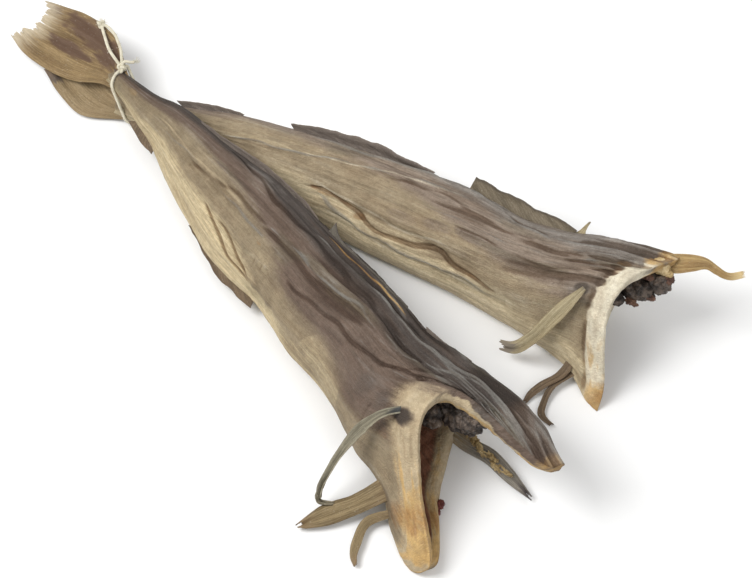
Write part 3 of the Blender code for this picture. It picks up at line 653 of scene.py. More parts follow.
def streaks(x, angles, length, count, seed, octaves=2):
    """Random field drawn out along the body, with about so many cells round it."""
    turn = np.radians(angles)
    radius = count / (2 * math.pi)
    spots = np.stack([x / length, np.cos(turn) * radius, np.sin(turn) * radius], axis=-1)
    return grain(spots, seed, octaves)


def traced(fish, x, signed):
    """Height of the long ridges and grooves that run along the flank."""
    height = np.zeros_like(x)
    for size, width, path in fish["lines"]:
        path = np.asarray(path, float)
        wander = 2.0 * np.sin(x / 13 + size * 9) + 1.3 * np.sin(x / 5.7 + width)
        at = np.interp(x, path[:, 0], path[:, 1]) + wander
        reach = window(x, path[0, 0], path[-1, 0], 24)
        height += 1.25 * size * np.exp(-(((signed - at) / (0.65 * width)) ** 2)) * reach
    return height


def creased(fish, x, signed):
    """Height of the short bowed wrinkles that run round the body."""
    height = np.zeros_like(x)
    for at, angle, half, size in fish["creases"]:
        away = (signed - angle) / half
        bowed = x - at - 3.0 * away**2
        height += size * np.exp(-((bowed / 1.6) ** 2)) * np.exp(-(away**2) * 1.4)
    return height


def gathered(fish, x, angles):
    """The angles, drawn together towards the top of the collar as the wrinkles are."""
    signed = np.mod(angles + 180, 360) - 180
    away = np.abs(signed) - fish["gather"]
    pull = 0.9 * step(270, 430, x) * np.exp(-((away / 55) ** 2))
    return signed + np.sign(signed) * away * pull


def rimwise(fish, signed, before):
    """Random field drawn out along the rim of the collar."""
    return grain(np.stack([before / 3.5, signed / 14, 0 * signed], axis=-1), fish["seed"] * 100 + 8, 3)


def wrinkles(fish, x, angles, before):
    """Height of all the drying wrinkles, and of those alone that get painted highlights on their ridges
    and painted shade in their grooves.
    """
    seed = fish["seed"] * 100
    signed = np.mod(angles + 180, 360) - 180
    side = np.abs(signed)
    drawn = gathered(fish, x, angles)
    upper = 1 - step(70, 130, side)
    head = step(150, 330, x)
    long = streaks(x, drawn, 85, 46, seed + 1)
    fine = streaks(x, drawn, 30, 110, seed + 2)
    ridged = 0.45 - np.abs(streaks(x, drawn, 75, 32, seed + 3, 1)) * 1.9
    pleat = 0.4 - np.abs(streaks(x, drawn, 40, 64, seed + 7, 1)) * 1.7
    broad = streaks(x, angles, 26, 12, seed + 4)
    pits = streaks(x, angles, 5, 46, seed + 5)
    ripple = streaks(x, angles, 4.2, 9, seed + 6, 1)
    ripple *= window(x, 225, 330, 30) * window(side, 100, 172, 30)
    lines = traced(fish, x, signed) + creased(fish, x, signed)
    edge = np.exp(-(((before / fish["band"] - 0.4) / 0.3) ** 2)) * 1.3
    edge -= np.exp(-(((before - fish["band"]) / 2.0) ** 2)) * 1.2
    edge *= fish["column"] * window(side, 62, 168, 14)
    bony = (1 - step(fish["band"] - 8, fish["band"] + 2, before)) * window(side, 56, 184, 14)
    strong = (0.4 + 0.9 * upper) * (0.3 + 0.7 * head + 0.6 * step(360, 430, x))
    marks = lines + strong * (1.15 * ridged + 0.6 * pleat) + 0.4 * long + 0.25 * fine
    marks = marks * (1 - 0.85 * bony)
    height = marks * 0.95 + 0.6 * broad * (1 - 0.5 * bony) + 0.22 * pits + 0.55 * ripple
    calm = step(2, 26, x) * (1 - 0.55 * (1 - step(0, 10, before)))
    height = height * calm + edge + 0.5 * bony * rimwise(fish, signed, before)
    return height, marks + np.minimum(edge, 0)


def lined(lines, x, signed):
    """Thin soft lines along the body."""
    total = np.zeros_like(x)
    for width, path in lines:
        path = np.asarray(path, float)
        at = np.interp(x, path[:, 0], path[:, 1]) + 1.2 * np.sin(x / 11 + width) + 0.6 * np.sin(x / 4.3)
        reach = window(x, path[0, 0], path[-1, 0], 16)
        total = np.maximum(total, np.exp(-(((signed - at) / width) ** 2)) * reach)
    return total


def spotted(spots, x, side, rough, edge=(0.45, 1.35)):
    """Sum of spots, with ragged edges that are soft or sharp."""
    total = np.zeros_like(x)
    for at, angle, length, width, strength in spots:
        away = np.sqrt(((x - at) / length) ** 2 + ((side - angle) / width) ** 2)
        total = np.maximum(total, strength * (1 - step(*edge, away + rough * 0.45)))
    return total


def skin_fields(fish, grid, x, angles, before, zone):
    """The place on the hide of each point, and the random fields that break up its colours."""
    seed = fish["seed"] * 100
    signed = np.mod(angles + 180, 360) - 180
    drawn = gathered(fish, x, angles)
    return SimpleNamespace(
        x=x, signed=signed, side=np.abs(signed), before=before, zone=zone,
        patch=streaks(x, angles, 34, 12, seed + 11, 2),
        line=streaks(x, drawn, 60, 60, seed + 12, 2),
        speck=streaks(x, angles, 9, 60, seed + 13, 2),
        band=streaks(x, drawn, 60, 16, seed + 14, 2),
        mottle=grain(grid / 7, seed + 15, 3),
        rim_streak=rimwise(fish, signed, before),
        lip=zone == LIP,
        inner=zone == HOLLOW,
    )


def flank_masks(fish, at):
    """The colours of the flanks: dark back, brown side, pale belly, stains and threads."""
    rows = np.asarray(fish["tones"], float)
    dark_end, brown_end, pale_start = np.moveaxis(smooth(rows[:, 0], rows[:, 1:], at.x), -1, 0)
    warped = at.side + 9 * at.patch + 6 * at.line + 1.5 * at.speck
    dusk = 1 - step(dark_end - 16, dark_end + 16, warped)
    plum = 1 - step(brown_end - 26, brown_end + 26, warped)
    straw = step(pale_start - 26, pale_start + 26, warped)
    dark = spotted(fish["dark_spots"], at.x, at.side, at.patch + 0.6 * at.line)
    pale = spotted(fish["pale_spots"], at.x, at.side, at.patch + 0.5 * at.line)
    sharp = spotted(fish["sharp_spots"], at.x, at.side, 0.5 * at.patch, (0.9, 1.02))
    gold = spotted(fish["gold_spots"], at.x, at.side, at.patch + at.mottle)
    return {
        "dusk": np.maximum(dusk * (0.8 + 0.35 * at.line), dark * 0.5),
        "plum": np.maximum(plum, dark),
        "straw": np.maximum(np.maximum(straw, pale), sharp),
        "rust": spotted(fish["rust_spots"], at.x, at.side, at.patch + at.speck),
        "gold": np.maximum(gold, 0.9 * lined(fish["gold_lines"], at.x, at.signed)),
        "moss": step(0.1, 0.6, at.band) * 0.6,
    }


def bony_places(fish, at):
    """The bone behind the rim, the painted shade in the pits of the side fins, and the bare edge of the
    nape.
    """
    start = fish["plate_from"]
    away = at.before + 3 * at.patch + 2 * at.line
    plate = 1 - step(fish["plate"] - fish["plate_soft"], fish["plate"] + 2, away)
    plate *= step(start - 16, start + 14, at.side + 5 * at.line) * (at.zone > SKIN)
    pit_shade = spotted(fish["pit_shade_spots"], at.x, at.side, 0.6 * at.mottle)
    nape_edge = fish["nape_gold"] * (1 - step(3, 12, at.before + 7 * at.mottle))
    nape_edge = nape_edge * (1 - step(56, 76, at.side)) * (at.zone == COLLAR)
    return np.maximum(plate, nape_edge) * (1 - pit_shade), pit_shade, nape_edge


def cut_places(fish, at):
    """How far over the lip each point is, the nape flap, the cut skin and the raw rim of the hollow."""
    along = np.linspace(0, 1, LIP_ROWS + 2)[1:-1]
    across = np.concatenate([np.zeros(BODY_ROWS + COLLAR_ROWS), along, np.ones(CAVITY_ROWS)])
    across = across[:, None] + 0.35 * at.mottle
    tongue = (1 - step(50, 80, at.side)) * step(450, 480, at.x) * (1 - fish["nape_gold"])
    cut = step(0.15 + 0.28 * tongue, 0.35 + 0.28 * tongue, across)
    raw = at.inner * (1 - step(4, 17, np.clip(at.before, 0, 200) + 6 * at.patch))
    return across, tongue, cut, raw


def skin_masks(fish, at, marks):
    """Where each colour of the hide lies, and its painted highlights and shade, from 0 to 1."""
    masks = flank_masks(fish, at)
    plate, pit_shade, nape_edge = bony_places(fish, at)
    across, tongue, cut, raw = cut_places(fish, at)
    outside = at.zone < LIP
    bare_nape = fish["nape_gold"]
    bony = np.maximum(plate, at.lip)

    masks["dusk"] = masks["dusk"] * (1 - 0.85 * step(455, 480, at.x) * (1 - bare_nape))
    # The pits of the side fins get painted shade in the dark back and brown tones.
    masks["dusk"] = np.maximum(masks["dusk"], 0.9 * pit_shade)
    masks["plum"] = np.maximum(masks["plum"], pit_shade)
    masks["bone"] = np.where(at.lip, np.maximum(plate, cut), plate * (1 - at.inner))
    masks["bone"] = np.maximum(masks["bone"], raw * 0.8)
    cream = 0.5 * lined(fish["cream_lines"], at.x, at.signed) * outside
    masks["bone"] = np.maximum(masks["bone"], cream)

    rim = at.lip * step(0.5, 0.8, across) * (0.45 + 0.5 * at.rim_streak) + raw * (0.35 + 0.5 * at.mottle)
    rim += (at.lip | at.inner) * tongue * cut * step(-0.2, 0.3, at.mottle) * 0.6
    nape = bare_nape * (1 - step(40, 75, at.side)) * step(-0.4, 0.2, at.mottle)
    nape *= np.maximum(np.maximum(at.lip, raw), nape_edge * 0.8)
    low = 0.75 * step(110, 150, at.side) * step(0.0, 0.6, at.rim_streak + 0.3) * bony
    masks["gold"] = np.maximum(masks["gold"] * (1 - at.inner), np.maximum(np.maximum(rim, nape), low))
    amber = 0.45 * step(95, 130, at.side) * step(0.1, 0.5, at.rim_streak - 0.5 * at.mottle) * bony
    amber *= 1 - bare_nape
    fresh_cut = (at.lip | at.inner) * tongue * cut * step(0.0, 0.5, at.mottle) * 0.5
    masks["rust"] = masks["rust"] * (1 - at.inner) + fresh_cut + amber

    for name in ("dusk", "plum", "straw"):
        masks[name] = masks[name] * (1 - at.inner)
    masks["straw"] = masks["straw"] * (1 - at.lip)
    masks["flesh"] = at.inner * (1 - raw)
    # Painted shade, near black, deep in the pits of the side fins.
    masks["deep_pit_shade"] = pit_shade**2 * outside
    # The hollow turns darker and greener towards its belly side.
    belly_side = step(118, 140, at.side + 12 * at.patch) * 0.9
    masks["moss"] = np.where(at.inner, belly_side, masks["moss"] * (1 - at.lip))
    plain = np.where(at.zone > COLLAR, 1.0, plate)
    streaked = 0.4 * at.line + 0.28 * at.patch + 0.1 * at.speck
    masks["shade"] = 0.5 + streaked * (1 - plain) + 0.5 * at.rim_streak * plain
    # Painted highlight on the ridges and on the nape flap.
    ridge_highlight = np.clip(marks, 0, 1.6) / 1.6 * (1 - 0.85 * plate) + 0.55 * tongue * step(-0.6, 0.4, at.line)
    masks["ridge_highlight"] = ridge_highlight * outside
    # Painted shade in the grooves and creases, and in the pits of the side fins.
    masks["groove_shade"] = np.maximum(np.clip(-marks, 0, 1.8) / 1.8, 0.8 * pit_shade) * outside
    return {name: np.clip(value, 0, 1) for name, value in masks.items()}


def grid_normals(grid):
    """Unit normals of a grid whose last column meets its first."""
    down = np.gradient(grid, axis=0)
    over = np.roll(grid, -1, axis=1) - np.roll(grid, 1, axis=1)
    normals = np.cross(over, down)
    return normals / np.maximum(np.linalg.norm(normals, axis=-1, keepdims=True), 1e-9)


def ring_angles():
    """Angles round a body, closer together on the right flank, which is the one that shows."""
    even = np.linspace(-0.5, 1.5, AROUND, endpoint=False) * math.pi
    return np.degrees(even - 0.45 * np.sin(even - 1.4))


def body_surface(fish):
    """Grid of points of a whole body, with x, angle, distance to the rim and zone of each."""
    angles = ring_angles()
    start = fish["outline"][0][0]
    body_x = np.linspace(start, fish["collar_start"], BODY_ROWS)
    reach = np.linspace(0, 1, COLLAR_ROWS + 1)[1:]
    outer_x = closed_rim(fish["rim"], fish["left_setback"], angles)[:, 0]
    every = np.ones(AROUND)
    body = skin(fish, body_x[:, None] * every, angles + 0 * body_x[:, None])
    front = collar(fish, reach[:, None] * every, angles + 0 * reach[:, None])
    outer = front[-1]
    inner = cavity(fish, 0 * every, angles)
    tangent = np.roll(outer, -1, axis=0) - np.roll(outer, 1, axis=0)
    away = np.cross(tangent, inner - outer)
    away /= np.linalg.norm(away, axis=1, keepdims=True)
    away *= LIP_BULGE * np.sign(away[:, 0].mean())
    across = np.linspace(0, 1, LIP_ROWS + 2)[1:-1, None, None]
    lip = outer * (1 - across) + inner * across + away * np.sin(math.pi * across)
    depth = np.linspace(0, 0.97, CAVITY_ROWS) ** 1.2
    hollow = cavity(fish, depth[:, None] * every, angles + 0 * depth[:, None])
    grid = np.concatenate([body, front, lip, hollow])
    grid[..., 2] *= np.clip((grid[..., 0] - start) / 18, 0, 1) ** 0.6
    rows = (BODY_ROWS, COLLAR_ROWS, LIP_ROWS, CAVITY_ROWS)
    zone = np.repeat((SKIN, COLLAR, LIP, HOLLOW), rows)[:, None] * np.ones(AROUND)
    before = outer_x - grid[..., 0]
    turned = angles + np.zeros(grid.shape[:2])
    return grid, grid[..., 0].copy(), turned, before, zone


def placed(fish, points):
    """Points of a fish's own frame where the fish lies, in millimetres and inside the frame's box."""
    turn = np.array(Euler([math.radians(angle) for angle in fish["turn"]]).to_matrix())
    points = points @ turn.T + np.subtract(fish["waist"], CENTRE)
    low, high = (np.array(corner) / MM for corner in CAD_BOX)
    return np.clip(points, low + (0.05, 0.05, 0.0), high - 0.05)


def deselect():
    """Leave nothing selected."""
    bpy.ops.object.select_all(action="DESELECT")


def grid_piece(name, points, uv):
    """A new grid of faces, moved onto the points, with its own map."""
    rows, cols = points.shape[:2]
    deselect()
    bpy.ops.mesh.primitive_grid_add(
        x_subdivisions=cols - 1, y_subdivisions=rows - 1, size=2, calc_uvs=True)
    piece = bpy.context.active_object
    piece.name = name
    mesh = piece.data
    mesh.name = name
    flat = np.zeros(len(mesh.vertices) * 3, np.float32)
    mesh.vertices.foreach_get("co", flat)
    flat = flat.reshape(-1, 3)
    col = np.rint((flat[:, 0] + 1) / 2 * (cols - 1)).astype(int)
    row = np.rint((flat[:, 1] + 1) / 2 * (rows - 1)).astype(int)
    mesh.vertices.foreach_set("co", (points[row, col] * MM).astype(np.float32).ravel())
    corner = np.zeros(len(mesh.loops), np.int32)
    mesh.loops.foreach_get("vertex_index", corner)
    spots = uv[row, col][corner]
    mesh.uv_layers[0].data.foreach_set("uv", spots.astype(np.float32).ravel())
    mesh.update()
    return piece, row, col


def add_masks(piece, masks, row, col):
    """Keep each mask with the points of the piece."""
    for name, values in masks.items():
        layer = piece.data.attributes.new(name, "FLOAT", "POINT")
        layer.data.foreach_set("value", values[row, col].astype(np.float32))


def close_seams(piece):
    """Merge points on top of each other and turn the faces out."""
    deselect()
    piece.select_set(True)
    bpy.context.view_layer.objects.active = piece
    bpy.ops.object.mode_set(mode="EDIT")
    bpy.ops.mesh.select_all(action="SELECT")
    bpy.ops.mesh.remove_doubles(threshold=0.000004)
    bpy.ops.mesh.normals_make_consistent(inside=False)
    bpy.ops.object.mode_set(mode="OBJECT")
    bpy.ops.object.shade_smooth()


def finish(piece, material, node):
    """Give a piece its material and its place in the frame."""
    piece.data.materials.clear()
    piece.data.materials.append(material)
    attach(piece, "root")
    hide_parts(node)
    return piece


def hide_piece(name, fish, material, node):
    """The hide of a fish: body, collar, lip and hollow, closed at both ends."""
    grid, x, turned, before, zone = body_surface(fish)
    height, marks = wrinkles(fish, x, turned, before)
    lengths = np.cumsum(np.linalg.norm(np.diff(grid, axis=0), axis=-1), axis=0) / 100
    ribs = 0.45 * np.sin(x * 2 * math.pi / 10.5 + 2 * np.sin(np.radians(turned)))
    ribbed = ribs + 0.8 * streaks(x, turned, 9, 30, fish["seed"] + 40, 3)
    height = np.where(zone == HOLLOW, ribbed, height)
    height = np.where(zone == LIP, 0.45 * grain(grid / 3.2, fish["seed"] + 41, 3), height)
    masks = skin_masks(fish, skin_fields(fish, grid, x, turned, before, zone), marks)
    grid = grid + grid_normals(grid) * height[..., None]
    for end in (0, -1):
        grid[end] = grid[end].mean(axis=0)
    wrap = list(range(AROUND)) + [0]
    points = placed(fish, grid[:, wrap])
    along = np.concatenate([np.zeros((1, AROUND)), lengths])[:, wrap]
    ring = ring_angles()
    round_it = np.broadcast_to(np.append(ring, ring[0] + 360) / 360 * 2.2, along.shape)
    uv = np.stack([along, round_it], axis=-1)
    piece, row, col = grid_piece(name, points, uv)
    add_masks(piece, {key: value[:, wrap] for key, value in masks.items()}, row, col)
    close_seams(piece)
    return finish(piece, material, node)


def fin_sheet(fin, rows, cols, reach):
    """Middle sheet of a fin, rows from its first points and columns from edge a to edge b."""
    across = np.linspace(0, 1, cols)
    root, full = fin.get("width", (1.0, 1.0))
    sheet = np.zeros((rows, cols, 3))
    for column, v in enumerate(across):
        at = np.linspace(0, reach[column], rows)
        wide = root + (full - root) * step(0.0, 0.4, at)
        v = (0.5 + (v - 0.5) * wide)[:, None]
        sheet[:, column] = curve(fin["a"], at) * (1 - v) + curve(fin["b"], at) * v
    return sheet


def sheet_normals(sheet):
    """Unit normals of an open sheet of points."""
    normals = np.cross(np.gradient(sheet, axis=0), np.gradient(sheet, axis=1))
    return normals / np.maximum(np.linalg.norm(normals, axis=-1, keepdims=True), 1e-9)


def frayed(count, seed, fray):
    """How far each column reaches: long at the rays, short and torn between them."""
    chance = random.Random(seed)
    shares = (0.35, 1.0)
    return np.array([1 - fray * chance.random() ** 1.5 * shares[k % 2] for k in range(count * 2 + 1)])


def span_of(points):
    """Length of the way from point to point."""
    return float(np.linalg.norm(np.diff(np.asarray(points, float), axis=0), axis=1).sum())


def worn_crest(sheet, along, across, rays, seed):
    """The sheet of a crest, with its outer edge worn down unevenly."""
    wear = grain(np.stack([along * rays / 5, 0 * along, 0 * along + 0.5], axis=-1), seed, 3)
    keep = (1 - 0.2 * step(-0.4, 0.6, wear))[:, None, None]
    base = sheet[:, :1]
    return base + (sheet - base) * (1 - (1 - keep) * across[None, :, None] ** 0.6)


def fin_outline(fin, length, seed):
    """The sheet of a fin before its pleats, with its torn or worn edge, and each point's place on it."""
    width = max(np.linalg.norm(np.subtract(a, b)) for a, b in zip(fin["a"], fin["b"]))
    crest = fin["kind"] == "crest"
    rows = int(np.clip(length / (0.4 if crest else 0.8), 24, 300))
    cols = int(np.clip(width / 0.5, 14, 140))
    across = np.linspace(0, 1, cols)
    along = np.linspace(0, 1, rows)
    end = np.interp(across, np.linspace(0, 1, len(fin["end"])), fin["end"])
    if not crest:
        torn = frayed(fin["rays"], seed, 0.07)
        end = end * np.interp(across, np.linspace(0, 1, len(torn)), torn)
    sheet = fin_sheet(fin, rows, cols, end)
    if crest:
        sheet = worn_crest(sheet, along, across, fin["rays"], seed)
    return sheet, *np.meshgrid(along, across, indexing="ij")


def blotted(fin, ray, over, spots, seed):
    """Where the dark patches of a fin lie, with the painted shade at the root of a side fin, from 0 to
    1.
    """
    blot_and_root_shade = np.zeros_like(ray)
    rough = 0.5 * grain(spots * 1.3, seed + 5, 2)
    for at_ray, at_over, long, wide in fin.get("blots_and_root_shade", ()):
        away = np.sqrt(((ray - at_ray) / long) ** 2 + ((over - at_over) / wide) ** 2)
        blot_and_root_shade = np.maximum(blot_and_root_shade, 1 - step(0.3, 1.4, away + rough))
    return blot_and_root_shade


def fin_piece(name, fish, fin, seed, material, node):
    """One fin: a pleated sheet with raised rays and a torn edge, given its thickness."""
    length = max(span_of(fin["a"]), span_of(fin["b"]))
    crest = fin["kind"] == "crest"
    rays = fin["rays"]
    sheet, u, v = fin_outline(fin, length, seed)
    ray, over = (v, u + 0.3 * v) if crest else (u, v)
    spots = np.stack([ray * length / 16, over * rays * 0.35, np.full_like(u, seed)], axis=-1)
    drift = grain(spots * (0.5, 0.5, 1.0), seed + 3, 2)
    wave = fin["lift"] * np.sin(math.pi * fin["pleats"] * (v + 0.05 * drift)) * u**0.7
    lines = 0.25 * np.cos(2 * math.pi * rays * (over + 0.025 * drift))
    lines += 0.75 * grain(spots * (0.35, 2.6, 1.0), seed + 7, 2)
    swell = (0.12 if crest else 0.34) * lines * np.minimum(ray * 4, 1)
    rumple = (0.4 if crest else 0.8) * grain(spots, seed, 2) * np.minimum(ray * 3, 1)
    points = placed(fish, sheet + sheet_normals(sheet) * (wave + swell + rumple)[..., None])
    uv = np.stack([ray * length / 20, over * rays / 5], axis=-1)
    piece, row, col = grid_piece(name, points, uv)
    blot_and_root_shade = blotted(fin, ray, over, spots, seed)
    add_masks(piece, {"ray": ray, "blot_and_root_shade": blot_and_root_shade, "crease": 0.5 - 0.45 * lines}, row, col)
    thicken = piece.modifiers.new("thickness", "SOLIDIFY")
    thicken.thickness = FIN_THICKNESS * MM
    thicken.offset = 0.0
    bpy.ops.object.modifier_apply(modifier="thickness")
    bpy.ops.object.shade_smooth()
    return finish(piece, material, node)


def joined(pieces, name):
    """The pieces as one, under the name."""
    deselect()
    for piece in pieces:
        piece.select_set(True)
    bpy.context.view_layer.objects.active = pieces[0]
    if len(pieces) > 1:
        bpy.ops.object.join()
    pieces[0].name = name
    pieces[0].data.name = name
    return pieces[0]


def lump_piece(name, fish, lumps, crumple, cells, material, node):
    """Shrivelled lumps that run into each other, as one piece."""
    made = []
    for i, (middle, size) in enumerate(lumps):
        deselect()
        fine = 6 if max(size) > 12 else 5
        bpy.ops.mesh.primitive_ico_sphere_add(subdivisions=fine, radius=1.0)
        ball = bpy.context.active_object
        flat = np.zeros(len(ball.data.vertices) * 3, np.float32)
        ball.data.vertices.foreach_get("co", flat)
        unit = flat.reshape(-1, 3).astype(float)
        spots = unit * np.array(size) / cells + i * 7
        swell = 1 + crumple * grain(spots, 50 + i, 4)
        swell -= crumple * 0.6 * (1 - np.abs(grain(spots * 1.2, 60 + i, 2)) * 2.2).clip(0, 1)
        points = placed(fish, unit * swell[:, None] * size + middle)
        ball.data.vertices.foreach_set("co", (points * MM).astype(np.float32).ravel())
        made.append(ball)
    piece = joined(made, name)
    bpy.ops.object.shade_smooth()
    return finish(piece, material, node)


def turning_sides(path):
    """Two directions square to the path at each of its points, without a jump between them."""
    along = np.gradient(path, axis=0)
    along /= np.linalg.norm(along, axis=1, keepdims=True)
    side = np.array(Vector(along[0]).orthogonal().normalized())
    sides = []
    for direction in along:
        side = side - direction * (side @ direction)
        side = side / np.linalg.norm(side)
        sides.append(side)
    sides = np.array(sides)
    return sides, np.cross(along, sides)


def tube_points(path, radius, around):
    """Grid of points round a path, drawn in to a point at both ends."""
    sides, others = turning_sides(path)
    turn = np.linspace(0, 2 * math.pi, around + 1)
    ring = sides[:, None] * np.cos(turn)[None, :, None] + others[:, None] * np.sin(turn)[None, :, None]
    radius = np.broadcast_to(radius, len(path)).copy()
    radius[[0, -1]] = 0.0001
    return path[:, None] + ring * radius[:, None, None]


def evenly(points, gap):
    """Points a gap apart along a smooth curve through the points."""
    count = max(int(span_of(curve(points, np.linspace(0, 1, 200))) / gap), 6)
    return curve(points, np.linspace(0, 1, count))


def twisted(path):
    """Paths of the plies that are laid round the path of a string."""
    sides, others = turning_sides(path)
    lengths = np.concatenate([[0], np.cumsum(np.linalg.norm(np.diff(path, axis=0), axis=1))])
    made = []
    for ply in range(PLIES):
        turn = 2 * math.pi * (lengths / PLY_PITCH + ply / PLIES)
        around = sides * np.cos(turn)[:, None] + others * np.sin(turn)[:, None]
        made.append(path + around * STRING_RADIUS * PLY_REACH)
    return made


def mesh_of(piece, to_frame):
    """Points and faces of a piece, in a fish's frame and in millimetres."""
    points = [to_frame @ vert.co / MM for vert in piece.data.vertices]
    return points, [tuple(face.vertices) for face in piece.data.polygons]


def taut_turn(shapes, gap):
    """Closed path pulled tight round both tails, in one plane across them."""
    centre = Vector(WRAP_CENTRE)
    axis = Vector(WRAP_AXIS).normalized()
    side = axis.orthogonal().normalized()
    other = axis.cross(side)
    cut = []
    for points, faces in shapes:
        height = [(point - centre).dot(axis) for point in points]
        for face in faces:
            for a, b in zip(face, face[1:] + face[:1]):
                if (height[a] < 0) != (height[b] < 0):
                    spot = points[a].lerp(points[b], height[a] / (height[a] - height[b])) - centre
                    if spot.length < WRAP_REACH:
                        cut.append((spot.dot(side), spot.dot(other)))
    turns = [2 * math.pi * k / 16 for k in range(16)]
    spread = [(x + gap * math.cos(t), y + gap * math.sin(t)) for x, y in cut for t in turns]
    hull = [spread[i] for i in convex_hull_2d(spread)]
    ring = np.array([centre + side * x + other * y for x, y in hull + hull[:1]])
    lengths = np.concatenate([[0], np.cumsum(np.linalg.norm(np.diff(ring, axis=0), axis=1))])
    at = np.linspace(0, lengths[-1], int(lengths[-1] / PATH_STEP), endpoint=False)
    return np.stack([np.interp(at, lengths, ring[:, k]) for k in range(3)], axis=1)


def keep_off(path, trees, gap):
    """Move the points of a path away from the fish, to the gap at least."""
    for i in range(len(path)):
        for tree in trees:
            close, _, _, distance = tree.find_nearest(Vector(path[i]))
            if distance < gap:
                away = Vector(path[i]) - close
                path[i] = np.array(close + away.normalized() * gap)
    return path


def eased(path, trees, gap, ends=1):
    """The path drawn smooth and kept off the fish."""
    for _ in range(10):
        path[1:-1] = path[1:-1] * 0.6 + (path[:-2] + path[2:]) * 0.2
        path[ends:-ends] = keep_off(path[ends:-ends], trees, gap)
    return path


def knot_path(middle, size, turn):
    """A small overhand knot: a curve that crosses itself three times."""
    t = np.linspace(0, 2 * math.pi, 70)
    across = np.sin(t) + 2 * np.sin(2 * t)
    over = np.cos(t) - 2 * np.cos(2 * t)
    shape = np.stack([across, over, -1.3 * np.sin(3 * t)], axis=1)
    spin = np.array(Euler(turn).to_matrix())
    return np.asarray(middle) + shape @ spin.T * size / 3


def fray_paths(middle, away, count, length, seed):
    """Loose fibres that spread from a cut end."""
    chance = random.Random(seed)
    made = []
    for _ in range(count):
        heading = np.asarray(away, float) + [chance.uniform(-0.9, 0.9) for _ in range(3)]
        heading /= np.linalg.norm(heading)
        spot = np.asarray(middle, float) + [chance.uniform(-0.7, 0.7) for _ in range(3)]
        path = [spot]
        for _ in range(7):
            heading = heading + [chance.uniform(-0.35, 0.35) for _ in range(3)]
            heading /= np.linalg.norm(heading)
            spot = spot + heading * length * chance.uniform(0.5, 1.0) / 7
            path.append(spot)
        made.append(np.array(path))
    return made


def string_paths(shapes, trees):
    """Paths of the taut turn, the strand, the slack loop, the loose end and the two knots."""
    gap = STRING_RADIUS + STRING_GAP
    turn = taut_turn(shapes, gap)
    first = int(np.argmin(np.linalg.norm(turn - KNOT_SPOT, axis=1)))
    turn = eased(np.concatenate([turn[first:], turn[:first + 1]]), trees, gap)
    knot = tuple(turn[0])
    cords = [turn]
    for strand in ((knot,) + STRAND, SLACK + (knot,), (knot,) + LOOSE_END):
        cords.append(eased(evenly(strand, PATH_STEP), trees, gap))
    cords.append(knot_path(turn[0] + (0, 0, 0.6), 3.4, (0.5, 0.3, 0.2)))
    cords.append(knot_path(cords[1][-1], 2.8, (0.2, 0.9, 1.1)))
    return cords


def fibre_paths(cords):
    """Fibres that spread from the two cut ends, and a few that stand out along the string."""
    fibres = fray_paths(cords[1][-1], (-0.4, 0.9, 0.3), 26, 9, 5)
    fibres += fray_paths(cords[3][-1], (0.3, 0.9, 0.1), 18, 7, 6)
    chance = random.Random(9)
    for cord in cords[:4]:
        for _ in range(len(cord) // 4):
            fibres += fray_paths(cord[chance.randrange(len(cord))], (0, 0.1, 0.2), 1, 4, chance.random())
    return fibres


def string_piece(shapes, material):
    """The string: a taut turn round both tails, knots, a strand, a slack loop and frayed ends."""
    trees = [BVHTree.FromPolygons(*shape) for shape in shapes]
    cords = string_paths(shapes, trees)
    grids = [tube_points(ply, STRING_RADIUS * 0.5, 8) for cord in cords for ply in twisted(cord)]
    for fibre in fibre_paths(cords):
        grids.append(tube_points(keep_off(fibre, trees, STRING_GAP), FIBRE_RADIUS, 4))
    pieces = []
    for grid in grids:
        rows, cols = grid.shape[:2]
        u, v = np.meshgrid(np.arange(rows) * 0.1, np.linspace(0, 1, cols), indexing="ij")
        piece, _, _ = grid_piece("string_ply", placed(NEAR, grid), np.stack([u, v], axis=-1))
        pieces.append(piece)
    string = joined(pieces, "string_cord")
    close_seams(string)
    return finish(string, material, "tie_string")


def new_material(name, rough):
    """Empty material, its node tree and its shader."""
    material = bpy.data.materials.new(name)
    material.use_nodes = True
    tree = material.node_tree
    shader = tree.nodes["Principled BSDF"]
    shader.inputs["Roughness"].default_value = rough
    shader.inputs["Specular IOR Level"].default_value = 0.35
    return material, tree, shader


def put(tree, socket, value):
    """Link the value if it is a socket, else set it."""
    if isinstance(value, bpy.types.NodeSocket):
        tree.links.new(value, socket)
    elif isinstance(value, tuple) and len(value) == 3 and socket.type == "RGBA":
        socket.default_value = (*value, 1.0)
    else:
        socket.default_value = value


def attribute(tree, name):
    """A mask kept with the points of the piece."""
    made = tree.nodes.new("ShaderNodeAttribute")
    made.attribute_name = name
    return made.outputs["Fac"]


def spots_from(tree, source, scale):
    """Coordinates of the piece, scaled."""
    origin = tree.nodes.new("ShaderNodeTexCoord")
    mapping = tree.nodes.new("ShaderNodeMapping")
    mapping.inputs["Scale"].default_value = scale
    tree.links.new(origin.outputs[source], mapping.inputs["Vector"])
    return mapping.outputs["Vector"]


def clouds(tree, vector, scale, detail=3.0, rough=0.55):
    """Soft noise from 0 to 1."""
    made = tree.nodes.new("ShaderNodeTexNoise")
    made.inputs["Scale"].default_value = scale
    made.inputs["Detail"].default_value = detail
    made.inputs["Roughness"].default_value = rough
    tree.links.new(vector, made.inputs["Vector"])
    return made.outputs["Fac"]


def cells(tree, vector, scale):
    """Distance to the edges of a net of small cells."""
    made = tree.nodes.new("ShaderNodeTexVoronoi")
    made.feature = "DISTANCE_TO_EDGE"
    made.inputs["Scale"].default_value = scale
    tree.links.new(vector, made.inputs["Vector"])
    return made.outputs["Distance"]


